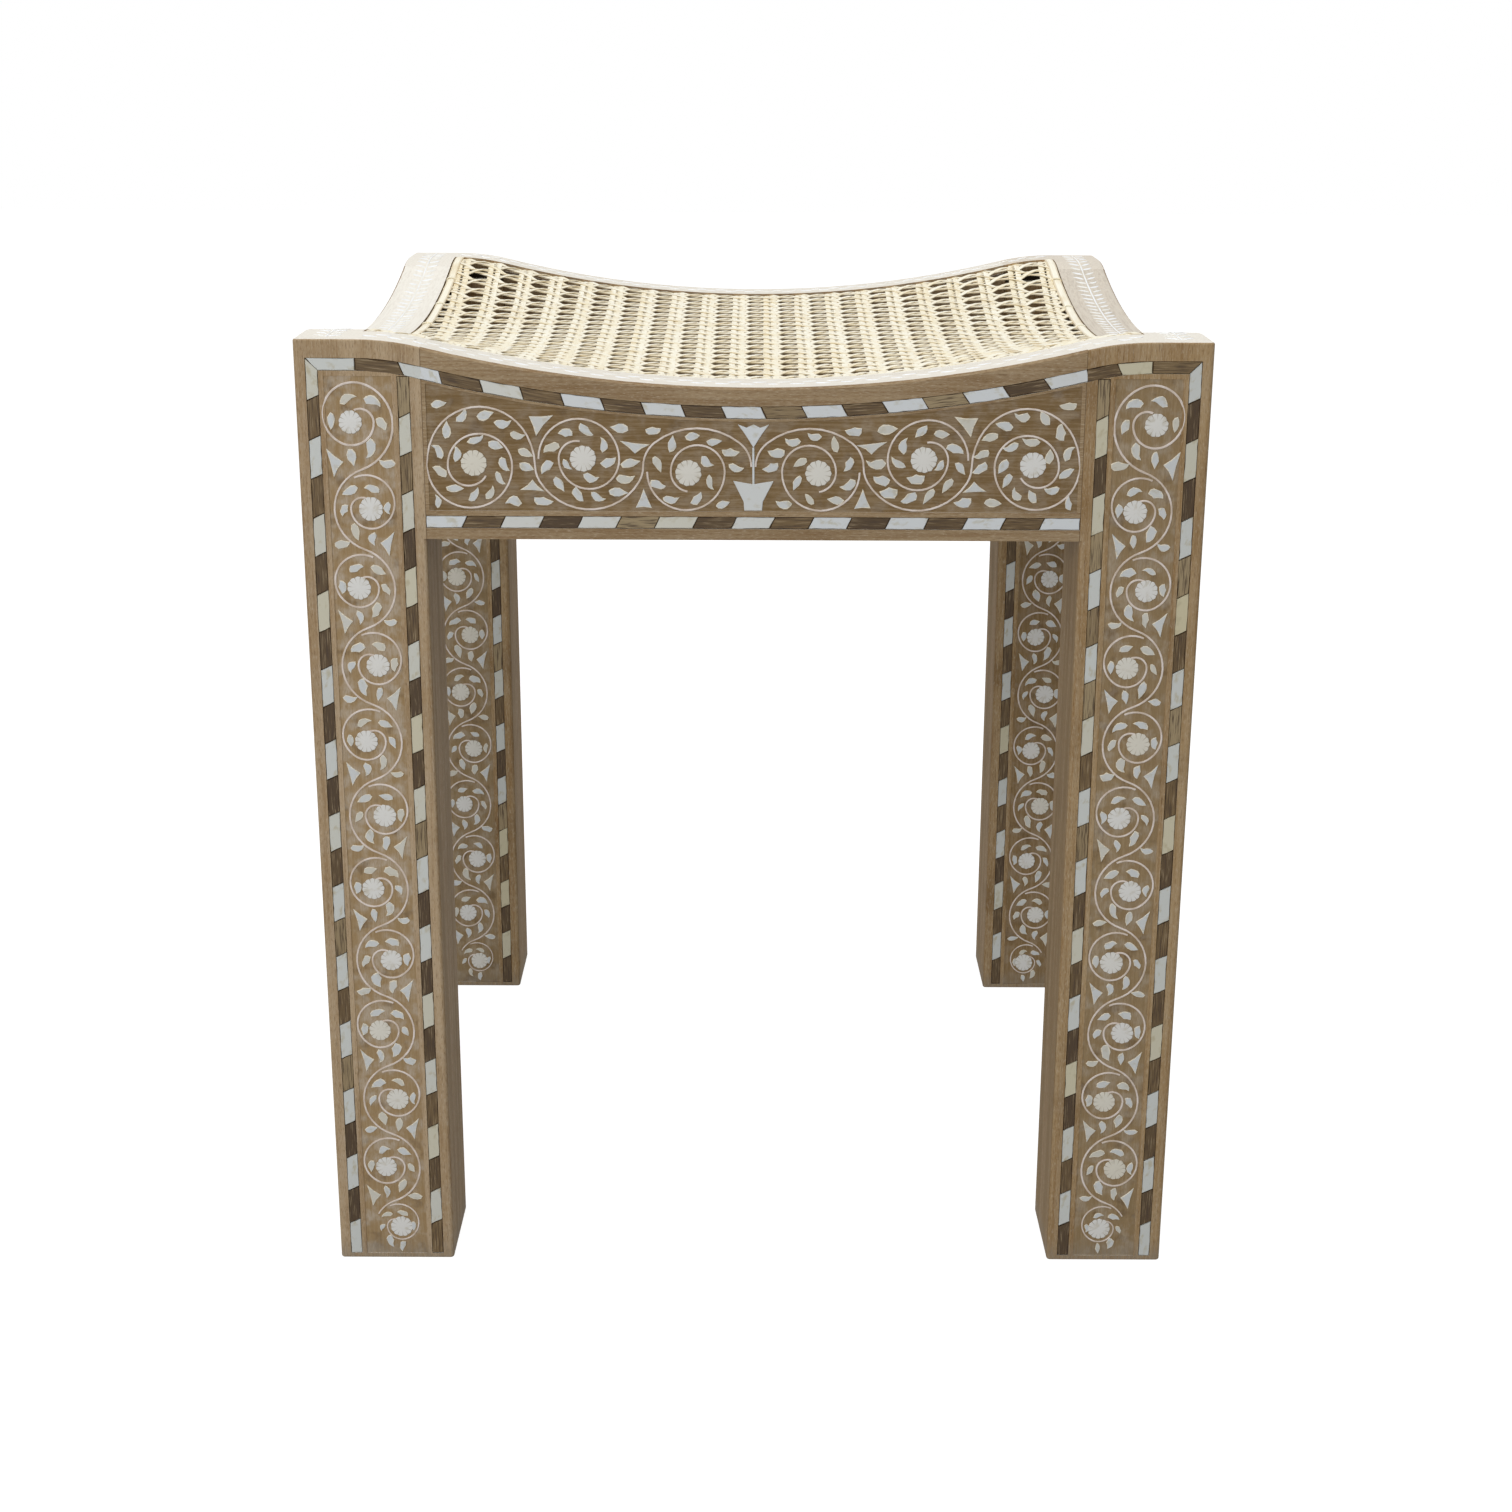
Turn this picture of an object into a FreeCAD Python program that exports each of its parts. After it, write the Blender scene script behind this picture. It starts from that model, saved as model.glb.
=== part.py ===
import FreeCAD, Part
import math
import os

from FreeCAD import Matrix, Placement, Rotation, Vector

# Inlaid stool with a hollowed frame and a cane seat.
# Millimetres. X runs to the right, Y to the back, Z up; the origin is the middle of the footprint.

doc = FreeCAD.newDocument("Stool")
sheet = doc.addObject("Spreadsheet::Sheet", "Sizes")

DRIVING_SIZES = [
    # Whole stool and its posts
    ("width", 450, "across the legs, left to right"),
    ("depth", 440, "across the legs, front to back"),
    ("height", 502, "floor to the leg tops"),
    ("leg_width", 62, "leg section along X"),
    ("leg_depth", 58, "leg section along Y"),
    ("arris_radius", 2, "rounding of the legs' long corners"),
    ("edge_radius", 1.2, "easing of the feet and of the outer top edges"),
    # Aprons and seat frame
    ("apron_height", 99, "leg top down to the apron's lower edge"),
    ("rim_width", 30, "flat wood rim round the cane"),
    ("ledge_width", 10, "ledge under the cane's edge"),
    ("dish_radius", 700, "curve of the hollowed aprons"),
    ("tenon_thickness", 12, "apron tenon"),
    ("tenon_height", 60, "apron tenon"),
    ("tenon_length", 25, "apron tenon"),
    ("tenon_setback", 14, "outer face to the tenon's cheek"),
    ("tenon_rise", 12, "apron's lower edge to the tenon"),
    ("tenon_fit", 0.15, "play round a tenon in its mortise"),
    # Cane seat
    ("cane_recess", 1.2, "rim down to the cane's top"),
    ("cane_thickness", 3, "woven mat"),
    ("cane_gap", 0.6, "mat to the ledge below it"),
    ("cane_play", 0.3, "mat to the rim's inner wall"),
    ("corner_rebate", 13.5, "leg top down to the rebate under the mat's corner"),
    ("cane_border", 14, "closed border of the mat"),
    ("cane_column_pitch", 18, "open columns, side to side"),
    ("cane_row_pitch", 26, "open rows, front to back"),
    ("cane_hole_width", 10, "one gap along X"),
    ("cane_hole_length", 17, "one gap along Y"),
    ("binder_width", 5.5, "flat strip along the mat's side edges"),
    ("binder_thickness", 1.2, "flat strip"),
    ("binder_inset", 1, "rim's inner wall to the strip"),
    # Tile strips
    ("tile_length", 19.8, "along the strip"),
    ("tile_width", 6.2, "across the strip"),
    ("tile_slant", 3, "lean of a tile's ends"),
    ("joint_tile", 9.5, "what each side holds of the tile that crosses a face's left joint"),
    ("tile_depth", 1, "tiles are let in flush"),
    ("edge_margin", 5.6, "wood outside a strip"),
    ("top_margin", 9.2, "wood above the top strip"),
    ("band_width", 2.6, "wood between a strip and the scroll field"),
    ("foot_margin", 3, "plain wood at the floor"),
    ("end_margin", 2, "wood at the ends of an apron's scroll field"),
    # Scroll fields
    ("field_depth", 0.4, "ground of the scroll field below the face"),
    ("wire_width", 1.2, "vine wire"),
    ("rosette_radius", 6, "rosette in a leg's scroll"),
    ("apron_rosette_radius", 6.6, "rosette in an apron's scroll"),
    ("leaf_length", 7.8, "leaf of the scrolls"),
    ("leaf_width", 3.9, "leaf of the scrolls"),
    ("tulip_width", 15.5, "flower at the middle of an apron"),
    ("tulip_height", 11.5, "flower at the middle of an apron"),
    ("vase_width", 20, "mouth of the vase"),
    ("vase_foot_width", 8.5, "foot of the vase"),
    ("vase_height", 15, "vase under the flower"),
    # Rim inlay
    ("rim_field_width", 19, "leafy band on the rim"),
    ("rim_leaf_pitch", 12.4, "leaves along the front and back rims"),
    ("rim_pair_pitch", 9, "leaf pairs along the side rims"),
    ("overrun", 1, "cutters stand past what they cut"),
]

for row, (alias, value, meaning) in enumerate(DRIVING_SIZES, start=1):
    sheet.set("A%d" % row, str(value))
    sheet.setAlias("A%d" % row, alias)
    sheet.set("B%d" % row, meaning)
doc.recompute()


def size(alias):
    """The number that a cell of the sheet holds."""
    return float(sheet.get(alias))


# Shares of the leg scroll's pitch, for the unit whose main stem passes on the left.
STEM_SWING_SHARE = 0.354
SPIRAL_START_SHARES = (-0.096, 0.402)
SPIRAL_HEADING = 25
SPIRAL_TURNS_SHARES = ((0.342, -175), (0.247, -120), (0.143, -115))
# At the top the stem bends over into the first spiral.
TOP_BEND_SHARES = (0.4435, -65)
# The top unit is taller and the last one shorter than the others, and the stem ends soon after it has passed.
TOP_UNIT_SHARE = 1.15
LAST_UNIT_SHARE = 0.79
STEM_END_SHARE = 0.3
ROSETTE_PLACE_SHARES = (0.096, 0.010)
LEG_PITCH_SHARE = 1.21
# Each leaf: centre as shares of the pitch, the way its tip points in degrees, length share.
LEG_LEAF_SHARES = (
    (-0.155, 0.235, 200, 0.95),
    (-0.240, -0.005, 240, 0.75),
    (-0.105, -0.275, 285, 1.0),
    (0.100, -0.365, 262, 0.85),
    (0.120, 0.265, 160, 0.85),
    (0.275, 0.020, 268, 1.05),
    (-0.275, -0.430, 8, 0.85),
)
LEG_TRIANGLE_SHARES = ((0.372, -0.265), (0.190, -0.415), (0.300, -0.585))
# Apron scroll, as shares of its pitch. Spirals are half circles, outermost first; the last one is cut short.
APRON_UNITS = 6
OUTER_SPIRAL_SHARES = (0.393, 0.297, 0.187)
MIDDLE_SPIRAL_SHARES = (0.372, 0.279, 0.168)
INNER_SPIRAL_SHARES = (0.358, 0.249, 0.186)
LAST_SWEEPS = (150, 100, 80)
# The main stem's three arches from the middle: over, under and over, each with its rise and springing radius.
STEM_ARCHES_SHARES = ((0.355, 0.28, 1), (0.405, 0.28, -1), (0.545, 0.62, 1))
# How far the middle and the inner strand spring above the middle line.
STRAND_START_SHARES = (0.066, -0.050)
# Rosettes from the middle of an apron: along, and above the scroll's middle line.
APRON_ROSETTE_SHARES = ((2.578, 0.025), (1.570, 0.070), (0.600, -0.060))
APRON_TRIANGLE_SHARES = (
    ((2.062, 0.459), (1.998, 0.278), (1.838, 0.470)),
    ((2.158, -0.224), (2.041, -0.128), (1.934, -0.235)),
    ((1.229, 0.235), (1.090, 0.118), (0.951, 0.203)),
    ((1.090, -0.385), (1.015, -0.203), (0.934, -0.389)),
)
MIDDLE_LINE_SHARE = 0.42
# Leaves of a half apron: place from the middle and above the middle line, tip's direction, length share.
APRON_LEAF_SHARES = (
    (2.875, 0.565, 5, 0.95), (2.671, 0.453, 48, 0.99), (2.462, 0.467, 15, 1.00), (2.301, 0.387, 5, 1.00),
    (2.172, 0.278, -15, 1.00), (2.103, 0.121, -32, 0.99), (2.090, -0.012, -33, 1.01), (2.815, 0.333, 90, 1.01),
    (2.903, 0.141, 120, 1.00), (2.893, -0.047, 146, 1.00), (2.763, -0.211, 0, 1.00), (2.581, -0.272, 50, 0.90),
    (2.430, -0.250, 60, 0.90), (2.554, 0.237, 20, 0.99), (2.372, 0.189, -25, 1.00), (2.736, 0.105, 82, 0.98),
    (2.295, 0.015, -60, 1.00), (2.338, -0.124, -65, 0.95), (2.215, -0.333, 185, 1.10), (1.935, -0.333, -5, 1.10),
    (2.923, -0.331, 91, 0.79), (1.727, 0.311, 175, 0.95), (1.538, 0.333, -45, 1.00), (1.376, 0.196, 100, 1.00),
    (1.333, 0.043, 30, 1.00), (1.860, 0.167, 195, 1.00), (1.914, -0.007, 230, 0.95), (1.727, 0.013, -57, 0.76),
    (1.499, -0.109, -12, 1.00), (1.791, -0.167, -60, 0.95), (1.621, -0.275, -56, 1.01), (1.437, -0.289, -30, 1.00),
    (1.247, -0.239, -5, 1.10), (1.183, -0.115, 8, 1.10), (1.131, 0.029, 13, 1.15), (1.226, 0.354, 170, 1.15),
    (0.920, 0.333, 0, 0.95), (0.753, 0.207, 80, 0.95), (0.559, 0.278, 10, 0.95), (0.361, 0.232, 4, 0.94),
    (0.209, 0.126, 0, 1.00), (0.157, -0.011, -20, 1.00), (0.875, 0.022, -65, 1.00), (0.876, -0.165, -29, 0.98),
    (0.756, -0.305, -7, 1.00), (0.523, -0.304, 50, 0.85), (0.280, -0.348, 10, 0.95), (0.430, 0.043, -30, 1.00),
    (0.402, -0.152, -70, 0.90),
)
SEAT_GRID = 13
ROSETTE_PETALS = 12
ROSETTE_NOTCH_SHARE = 0.84
LEAF_SHOULDER_SHARE = 0.35
LEAF_BASE_SHARE = 0.5
# Leaves of the rims: their width against a scroll leaf's, and the lean of a pair from the middle line.
RIM_LEAF_WIDTH_SHARE = 0.667
RIM_LEAF_LEAN = 50
# The lowest leg unit has no leaves below this share of its pitch, where the field ends.
LAST_LEAF_SHARE = -0.4
# Half outline of the flower, from its foot to its middle tip: shares of half its width and of its height.
TULIP_SHARES = ((0.55, 0.6), (1.0, 1.0), (0.45, 0.85))
# The vase's neck starts at this share of its height, and its mouth has a notch of that share.
VASE_NECK_SHARE = 0.3
VASE_NOTCH_SHARE = 0.12


# Sizes that follow from the driving ones, as expressions for the sheet's users.
HALF_WIDTH = "Sizes.width / 2"
HALF_DEPTH = "Sizes.depth / 2"
OPEN_X = "(Sizes.width / 2 - Sizes.rim_width)"
OPEN_Y = "(Sizes.depth / 2 - Sizes.rim_width)"
APRON_X = "(Sizes.width / 2 - Sizes.leg_width)"
APRON_Y = "(Sizes.depth / 2 - Sizes.leg_depth)"
CROWN_X = "(Sizes.dish_radius * (%s / %s - 1))" % (OPEN_X, APRON_X)
CROWN_Y = "(Sizes.dish_radius * (%s / %s - 1))" % (OPEN_Y, APRON_Y)
REACH_X = "(Sizes.dish_radius + %s)" % CROWN_X
REACH_Y = "(Sizes.dish_radius + %s)" % CROWN_Y
SAG_X = "(%s - sqrt(%s * %s - %s * %s))" % (REACH_X, REACH_X, REACH_X, OPEN_X, OPEN_X)
SAG_Y = "(%s - sqrt(%s * %s - %s * %s))" % (REACH_Y, REACH_Y, REACH_Y, OPEN_Y, OPEN_Y)
APRON_BOTTOM = "(Sizes.height - Sizes.apron_height)"
APRON_THICKNESS = "(Sizes.rim_width + Sizes.ledge_width)"
MAT_DEPTH = "(Sizes.cane_recess + Sizes.cane_thickness + Sizes.cane_gap)"
STRIP_INSET = "(Sizes.edge_margin + Sizes.tile_width)"
FIELD_INSET = "(Sizes.edge_margin + Sizes.tile_width + Sizes.band_width)"
LEG_FIELD_TOP = "(Sizes.height - Sizes.top_margin - Sizes.tile_width - Sizes.band_width)"

# How near counts as lying on a face, where edges are picked by their place
NEAR = 0.05

# The same values as numbers, for the shapes that are drawn in code.
half_width = size("width") / 2
half_depth = size("depth") / 2
open_x = half_width - size("rim_width")
open_y = half_depth - size("rim_width")
apron_x = half_width - size("leg_width")
apron_y = half_depth - size("leg_depth")
dish = size("dish_radius")
crown_x = dish * (open_x / apron_x - 1)
crown_y = dish * (open_y / apron_y - 1)
sag_x = dish + crown_x - math.sqrt((dish + crown_x) ** 2 - open_x ** 2)
sag_y = dish + crown_y - math.sqrt((dish + crown_y) ** 2 - open_y ** 2)
apron_bottom = size("height") - size("apron_height")
apron_top = size("height") - sag_x
strip_inset = size("edge_margin") + size("tile_width")
field_inset = strip_inset + size("band_width")
leg_field_top = size("height") - size("top_margin") - size("tile_width") - size("band_width")
leg_field = leg_field_top - size("foot_margin")
leg_pitch = leg_field / round(leg_field / (LEG_PITCH_SHARE * (size("leg_width") - 2 * field_inset)))


def drop(place, straight, joint, crown, sag):
    """How far the rim lies below the leg tops, at a distance from the apron's middle."""
    place = abs(place)
    if place >= straight:
        return 0.0
    if place > joint:
        return crown - math.sqrt(crown ** 2 - (straight - place) ** 2)
    return sag - dish + math.sqrt(dish ** 2 - place ** 2)


def drop_x(x):
    return drop(x, open_x, apron_x, crown_x, sag_x)


def drop_y(y):
    return drop(y, open_y, apron_y, crown_y, sag_y)


# Primitives and cuts bound to the sheet

def place_by(thing, x, y, z):
    for axis, expression in (("x", x), ("y", y), ("z", z)):
        thing.setExpression("Placement.Base." + axis, expression)
    return thing


def box(name, length, width, tall, x, y, z):
    thing = doc.addObject("Part::Box", name)
    thing.setExpression("Length", length)
    thing.setExpression("Width", width)
    thing.setExpression("Height", tall)
    return place_by(thing, x, y, z)


def cylinder(name, axis, radius, length, x, y, z):
    """A cylinder that starts at x, y, z and runs along +X, +Y or +Z."""
    thing = doc.addObject("Part::Cylinder", name)
    thing.setExpression("Radius", radius)
    thing.setExpression("Height", length)
    turns = {"X": Rotation(Vector(0, 1, 0), 90), "Y": Rotation(Vector(1, 0, 0), -90), "Z": Rotation()}
    thing.Placement = Placement(Vector(), turns[axis])
    return place_by(thing, x, y, z)


def easing_cone(name, axis, x, y, z):
    """Takes the outer edge off an apron's hollow; it runs inwards along +X or +Y and tapers to the hollow."""
    thing = doc.addObject("Part::Cone", name)
    thing.setExpression("Radius1", "Sizes.dish_radius + Sizes.edge_radius + Sizes.overrun")
    thing.setExpression("Radius2", "Sizes.dish_radius - Sizes.overrun")
    thing.setExpression("Height", "Sizes.edge_radius + 2 * Sizes.overrun")
    turns = {"X": Rotation(Vector(0, 1, 0), 90), "Y": Rotation(Vector(1, 0, 0), -90)}
    thing.Placement = Placement(Vector(), turns[axis])
    return place_by(thing, x, y, z)


def cut(name, base, tool):
    thing = doc.addObject("Part::Cut", name)
    thing.Base = base
    thing.Tool = tool
    return thing


def common(name, base, tool):
    thing = doc.addObject("Part::Common", name)
    thing.Base = base
    thing.Tool = tool
    return thing


def fuse(name, things):
    thing = doc.addObject("Part::MultiFuse", name)
    thing.Shapes = things
    return thing


def eased(name, base, chosen):
    """The piece with the chosen edges slightly rounded."""
    doc.recompute()
    radius = size("edge_radius")
    thing = doc.addObject("Part::Fillet", name)
    thing.Base = base
    thing.Edges = [(number, radius, radius) for number, edge in enumerate(base.Shape.Edges, start=1)
                   if chosen(edge)]
    return thing


def mirrored(name, source, normal):
    thing = doc.addObject("Part::Mirroring", name)
    thing.Source = source
    thing.Normal = normal
    return thing


def ring(name, axis, inner, outer, length, x, y, z):
    """A tube's wall between two radii."""
    return cut(name, cylinder(name + "Outer", axis, outer, length, x, y, z),
               cylinder(name + "Inner", axis, inner, length, x, y, z))


def corner_rounding(name, x, y, toward_x, toward_y, tall):
    """What a rounded long corner takes off a square post; the corner is at x, y."""
    radius = "Sizes.arris_radius"
    left = x if toward_x > 0 else "%s - %s" % (x, radius)
    front = y if toward_y > 0 else "%s - %s" % (y, radius)
    block = box(name + "Block", radius, radius, tall, left, front, "0")
    centre_x = "%s + %d * %s" % (x, toward_x, radius)
    centre_y = "%s + %d * %s" % (y, toward_y, radius)
    return cut(name, block, cylinder(name + "Round", "Z", radius, tall, centre_x, centre_y, "0"))


# The front left leg; the others are its mirror images

def leg_strip_cutters(face, along, start, top_edge, crown, open_edge, run):
    """Channels and scroll field of one outer face of the leg, whose run goes along X or Y."""
    deep = "(Sizes.tile_depth + Sizes.overrun)"
    shallow = "(Sizes.field_depth + Sizes.overrun)"
    outside = "%s - Sizes.overrun" % start

    def slab(name, offset, span, thickness, low, high):
        tall = "%s - %s" % (high, low)
        if along == "X":
            return box(face + name, span, thickness, tall, "-%s + %s" % (HALF_WIDTH, offset), outside, low)
        return box(face + name, thickness, span, tall, outside, "-%s + %s" % (HALF_DEPTH, offset), low)

    strip_top = "(Sizes.height - Sizes.top_margin)"
    strip_low = "(Sizes.height - Sizes.top_margin - Sizes.tile_width)"
    cutters = [
        slab("OuterStrip", "Sizes.edge_margin", "Sizes.tile_width", deep, "Sizes.foot_margin", strip_top),
        slab("InnerStrip", "%s - %s" % (run, STRIP_INSET), "Sizes.tile_width", deep,
             "Sizes.foot_margin", top_edge),
        slab("Field", FIELD_INSET, "%s - 2 * %s" % (run, FIELD_INSET), shallow,
             "Sizes.foot_margin", LEG_FIELD_TOP),
        slab("TopStrip", STRIP_INSET, "Sizes.rim_width - %s" % STRIP_INSET, deep, strip_low, strip_top),
    ]
    centre = "Sizes.height - %s" % crown
    inner = "%s - Sizes.top_margin - Sizes.tile_width" % crown
    outer = "%s - Sizes.top_margin" % crown
    if along == "X":
        arch = ring(face + "Arch", "Y", inner, outer, deep, "-%s" % open_edge, outside, centre)
    else:
        arch = ring(face + "Arch", "X", inner, outer, deep, outside, "-%s" % open_edge, centre)
    reach = slab("ArchReach", "Sizes.rim_width", "%s - Sizes.rim_width" % run, deep,
                 APRON_BOTTOM, "Sizes.height")
    cutters.append(common(face + "ArchPart", arch, reach))
    return cutters


def crown_cutter(name, along, crown, open_edge):
    """What the start of the hollow takes off one arm of the leg's top."""
    high = "(Sizes.top_margin)"
    low = "Sizes.height - %s" % high
    arm = "(Sizes.rim_width + Sizes.overrun)"
    if along == "X":
        block = box(name + "Block", "Sizes.leg_width - Sizes.rim_width + Sizes.overrun", arm, high,
                    "-%s" % open_edge, "-%s - Sizes.overrun" % HALF_DEPTH, low)
        round_part = cylinder(name + "Round", "Y", crown, arm, "-%s" % open_edge,
                              "-%s - Sizes.overrun" % HALF_DEPTH, "Sizes.height - %s" % crown)
    else:
        block = box(name + "Block", arm, "Sizes.leg_depth - Sizes.rim_width + Sizes.overrun", high,
                    "-%s - Sizes.overrun" % HALF_WIDTH, "-%s" % open_edge, low)
        round_part = cylinder(name + "Round", "X", crown, arm, "-%s - Sizes.overrun" % HALF_WIDTH,
                              "-%s" % open_edge, "Sizes.height - %s" % crown)
    return cut(name, block, round_part)


def build_leg():
    post = box("Post", "Sizes.leg_width", "Sizes.leg_depth", "Sizes.height",
               "-" + HALF_WIDTH, "-" + HALF_DEPTH, "0")
    rebate = box("CornerRebate", "Sizes.leg_width - Sizes.rim_width + Sizes.overrun",
                 "Sizes.leg_depth - Sizes.rim_width + Sizes.overrun", "Sizes.corner_rebate + Sizes.overrun",
                 "-" + OPEN_X, "-" + OPEN_Y, "Sizes.height - Sizes.corner_rebate")
    cheek = "Sizes.tenon_thickness + 2 * Sizes.tenon_fit"
    hole = "Sizes.tenon_height + 2 * Sizes.tenon_fit"
    reach = "Sizes.tenon_length + Sizes.tenon_fit + Sizes.overrun"
    level = APRON_BOTTOM + " + Sizes.tenon_rise - Sizes.tenon_fit"
    front_mortise = box("FrontMortise", reach, cheek, hole,
                        "-%s - Sizes.tenon_length - Sizes.tenon_fit" % APRON_X,
                        "-%s + Sizes.tenon_setback - Sizes.tenon_fit" % HALF_DEPTH, level)
    side_mortise = box("SideMortise", cheek, reach, hole,
                       "-%s + Sizes.tenon_setback - Sizes.tenon_fit" % HALF_WIDTH,
                       "-%s - Sizes.tenon_length - Sizes.tenon_fit" % APRON_Y, level)
    crowns = [crown_cutter("FrontCrown", "X", CROWN_X, OPEN_X),
              crown_cutter("SideCrown", "Y", CROWN_Y, OPEN_Y)]
    roundings = [
        corner_rounding("OuterCorner", "-" + HALF_WIDTH, "-" + HALF_DEPTH, 1, 1, "Sizes.height"),
        corner_rounding("InnerCorner", "-" + APRON_X, "-" + APRON_Y, -1, -1, "Sizes.height"),
        corner_rounding("FrontCorner", "-" + APRON_X, "-" + HALF_DEPTH, -1, 1, APRON_BOTTOM),
        corner_rounding("SideCorner", "-" + HALF_WIDTH, "-" + APRON_Y, 1, -1, APRON_BOTTOM),
    ]
    strip_end = "(Sizes.height - Sizes.top_margin - Sizes.tile_width - %s + sqrt(%s * %s - %s * %s))"
    reach_x = "(Sizes.leg_width - Sizes.rim_width - Sizes.edge_margin)"
    reach_y = "(Sizes.leg_depth - Sizes.rim_width - Sizes.edge_margin)"
    front = leg_strip_cutters("LegFront", "X", "-" + HALF_DEPTH,
                              strip_end % (CROWN_X, CROWN_X, CROWN_X, reach_x, reach_x),
                              CROWN_X, OPEN_X, "Sizes.leg_width")
    side = leg_strip_cutters("LegSide", "Y", "-" + HALF_WIDTH,
                             strip_end % (CROWN_Y, CROWN_Y, CROWN_Y, reach_y, reach_y),
                             CROWN_Y, OPEN_Y, "Sizes.leg_depth")
    inward = []
    deep = "Sizes.tile_depth + Sizes.overrun"
    shallow = "Sizes.field_depth + Sizes.overrun"
    tall = APRON_BOTTOM + " - Sizes.foot_margin - Sizes.band_width"
    for name, offset, span, thickness, floor in (
            ("InwardOuterStrip", "Sizes.edge_margin", "Sizes.tile_width", deep, "Sizes.tile_depth"),
            ("InwardInnerStrip", "Sizes.leg_width - " + STRIP_INSET, "Sizes.tile_width", deep,
             "Sizes.tile_depth"),
            ("InwardField", FIELD_INSET, "Sizes.leg_width - 2 * " + FIELD_INSET, shallow,
             "Sizes.field_depth")):
        inward.append(box(name, span, thickness, tall, "-%s + %s" % (HALF_WIDTH, offset),
                          "-%s - %s" % (APRON_Y, floor), "Sizes.foot_margin"))
    joinery = [rebate, front_mortise, side_mortise]
    tools = fuse("LegCuts", joinery + crowns + roundings + front + side + inward)
    leg = cut("LegSquare", post, tools)

    def chosen(edge):
        box = edge.BoundBox
        if box.ZMax < NEAR:
            return True
        if box.ZMin < size("height") - size("top_margin") + NEAR:
            return False
        front_edge = box.YMax < NEAR - half_depth
        side_edge = box.XMax < NEAR - half_width
        arris = size("arris_radius") + NEAR
        corner = box.XMax < arris - half_width and box.YMax < arris - half_depth
        return (front_edge and box.XLength > arris or side_edge and box.YLength > arris
                or corner and box.ZLength < NEAR)

    return eased("FrontLeftLeg", leg, chosen)


# The front and the left apron; the other two are their mirror images

def build_front_apron():
    length = "2 * " + APRON_X
    blank = box("FrontBlank", length, APRON_THICKNESS, "Sizes.apron_height", "-" + APRON_X,
                "-" + HALF_DEPTH, APRON_BOTTOM)
    tenons = [
        box("FrontTenonLeft", "Sizes.tenon_length", "Sizes.tenon_thickness", "Sizes.tenon_height",
            "-%s - Sizes.tenon_length" % APRON_X, "-%s + Sizes.tenon_setback" % HALF_DEPTH,
            APRON_BOTTOM + " + Sizes.tenon_rise"),
        box("FrontTenonRight", "Sizes.tenon_length", "Sizes.tenon_thickness", "Sizes.tenon_height",
            APRON_X, "-%s + Sizes.tenon_setback" % HALF_DEPTH, APRON_BOTTOM + " + Sizes.tenon_rise"),
    ]
    body = fuse("FrontBody", [blank] + tenons)
    centre = "Sizes.height - %s + Sizes.dish_radius" % SAG_X
    front = "-%s - Sizes.overrun" % HALF_DEPTH
    deep = "Sizes.tile_depth + Sizes.overrun"
    hollow = cylinder("FrontHollow", "Y", "Sizes.dish_radius", APRON_THICKNESS + " + 2 * Sizes.overrun",
                      "0", front, centre)
    ledge = cylinder("FrontLedge", "Y", "Sizes.dish_radius + " + MAT_DEPTH,
                     "Sizes.ledge_width + Sizes.overrun", "0", "-" + OPEN_Y, centre)
    rim_field = cylinder("FrontRimField", "Y", "Sizes.dish_radius + Sizes.field_depth",
                         "Sizes.rim_field_width", "0",
                         "-%s + (Sizes.rim_width - Sizes.rim_field_width) / 2" % HALF_DEPTH, centre)
    top_strip = ring("FrontTopStrip", "Y", "Sizes.dish_radius + Sizes.top_margin",
                     "Sizes.dish_radius + Sizes.top_margin + Sizes.tile_width", deep, "0", front, centre)
    low_strip = box("FrontLowStrip", length, deep, "Sizes.tile_width", "-" + APRON_X, front,
                    APRON_BOTTOM + " + Sizes.edge_margin")
    field_block = box("FrontFieldBlock", length + " - 2 * Sizes.end_margin",
                      "Sizes.field_depth + Sizes.overrun", "Sizes.apron_height - " + FIELD_INSET,
                      "-%s + Sizes.end_margin" % APRON_X, front, APRON_BOTTOM + " + " + FIELD_INSET)
    above = cylinder("FrontFieldTop", "Y",
                     "Sizes.dish_radius + Sizes.top_margin + Sizes.tile_width + Sizes.band_width / 2",
                     "Sizes.field_depth + 2 * Sizes.overrun", "0", front, centre)
    field = cut("FrontField", field_block, above)
    easing = easing_cone("FrontEasing", "Y", "0", front, centre)
    tools = fuse("FrontApronCuts", [hollow, easing, ledge, rim_field, top_strip, low_strip, field])
    return cut("FrontApron", body, tools)


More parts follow.
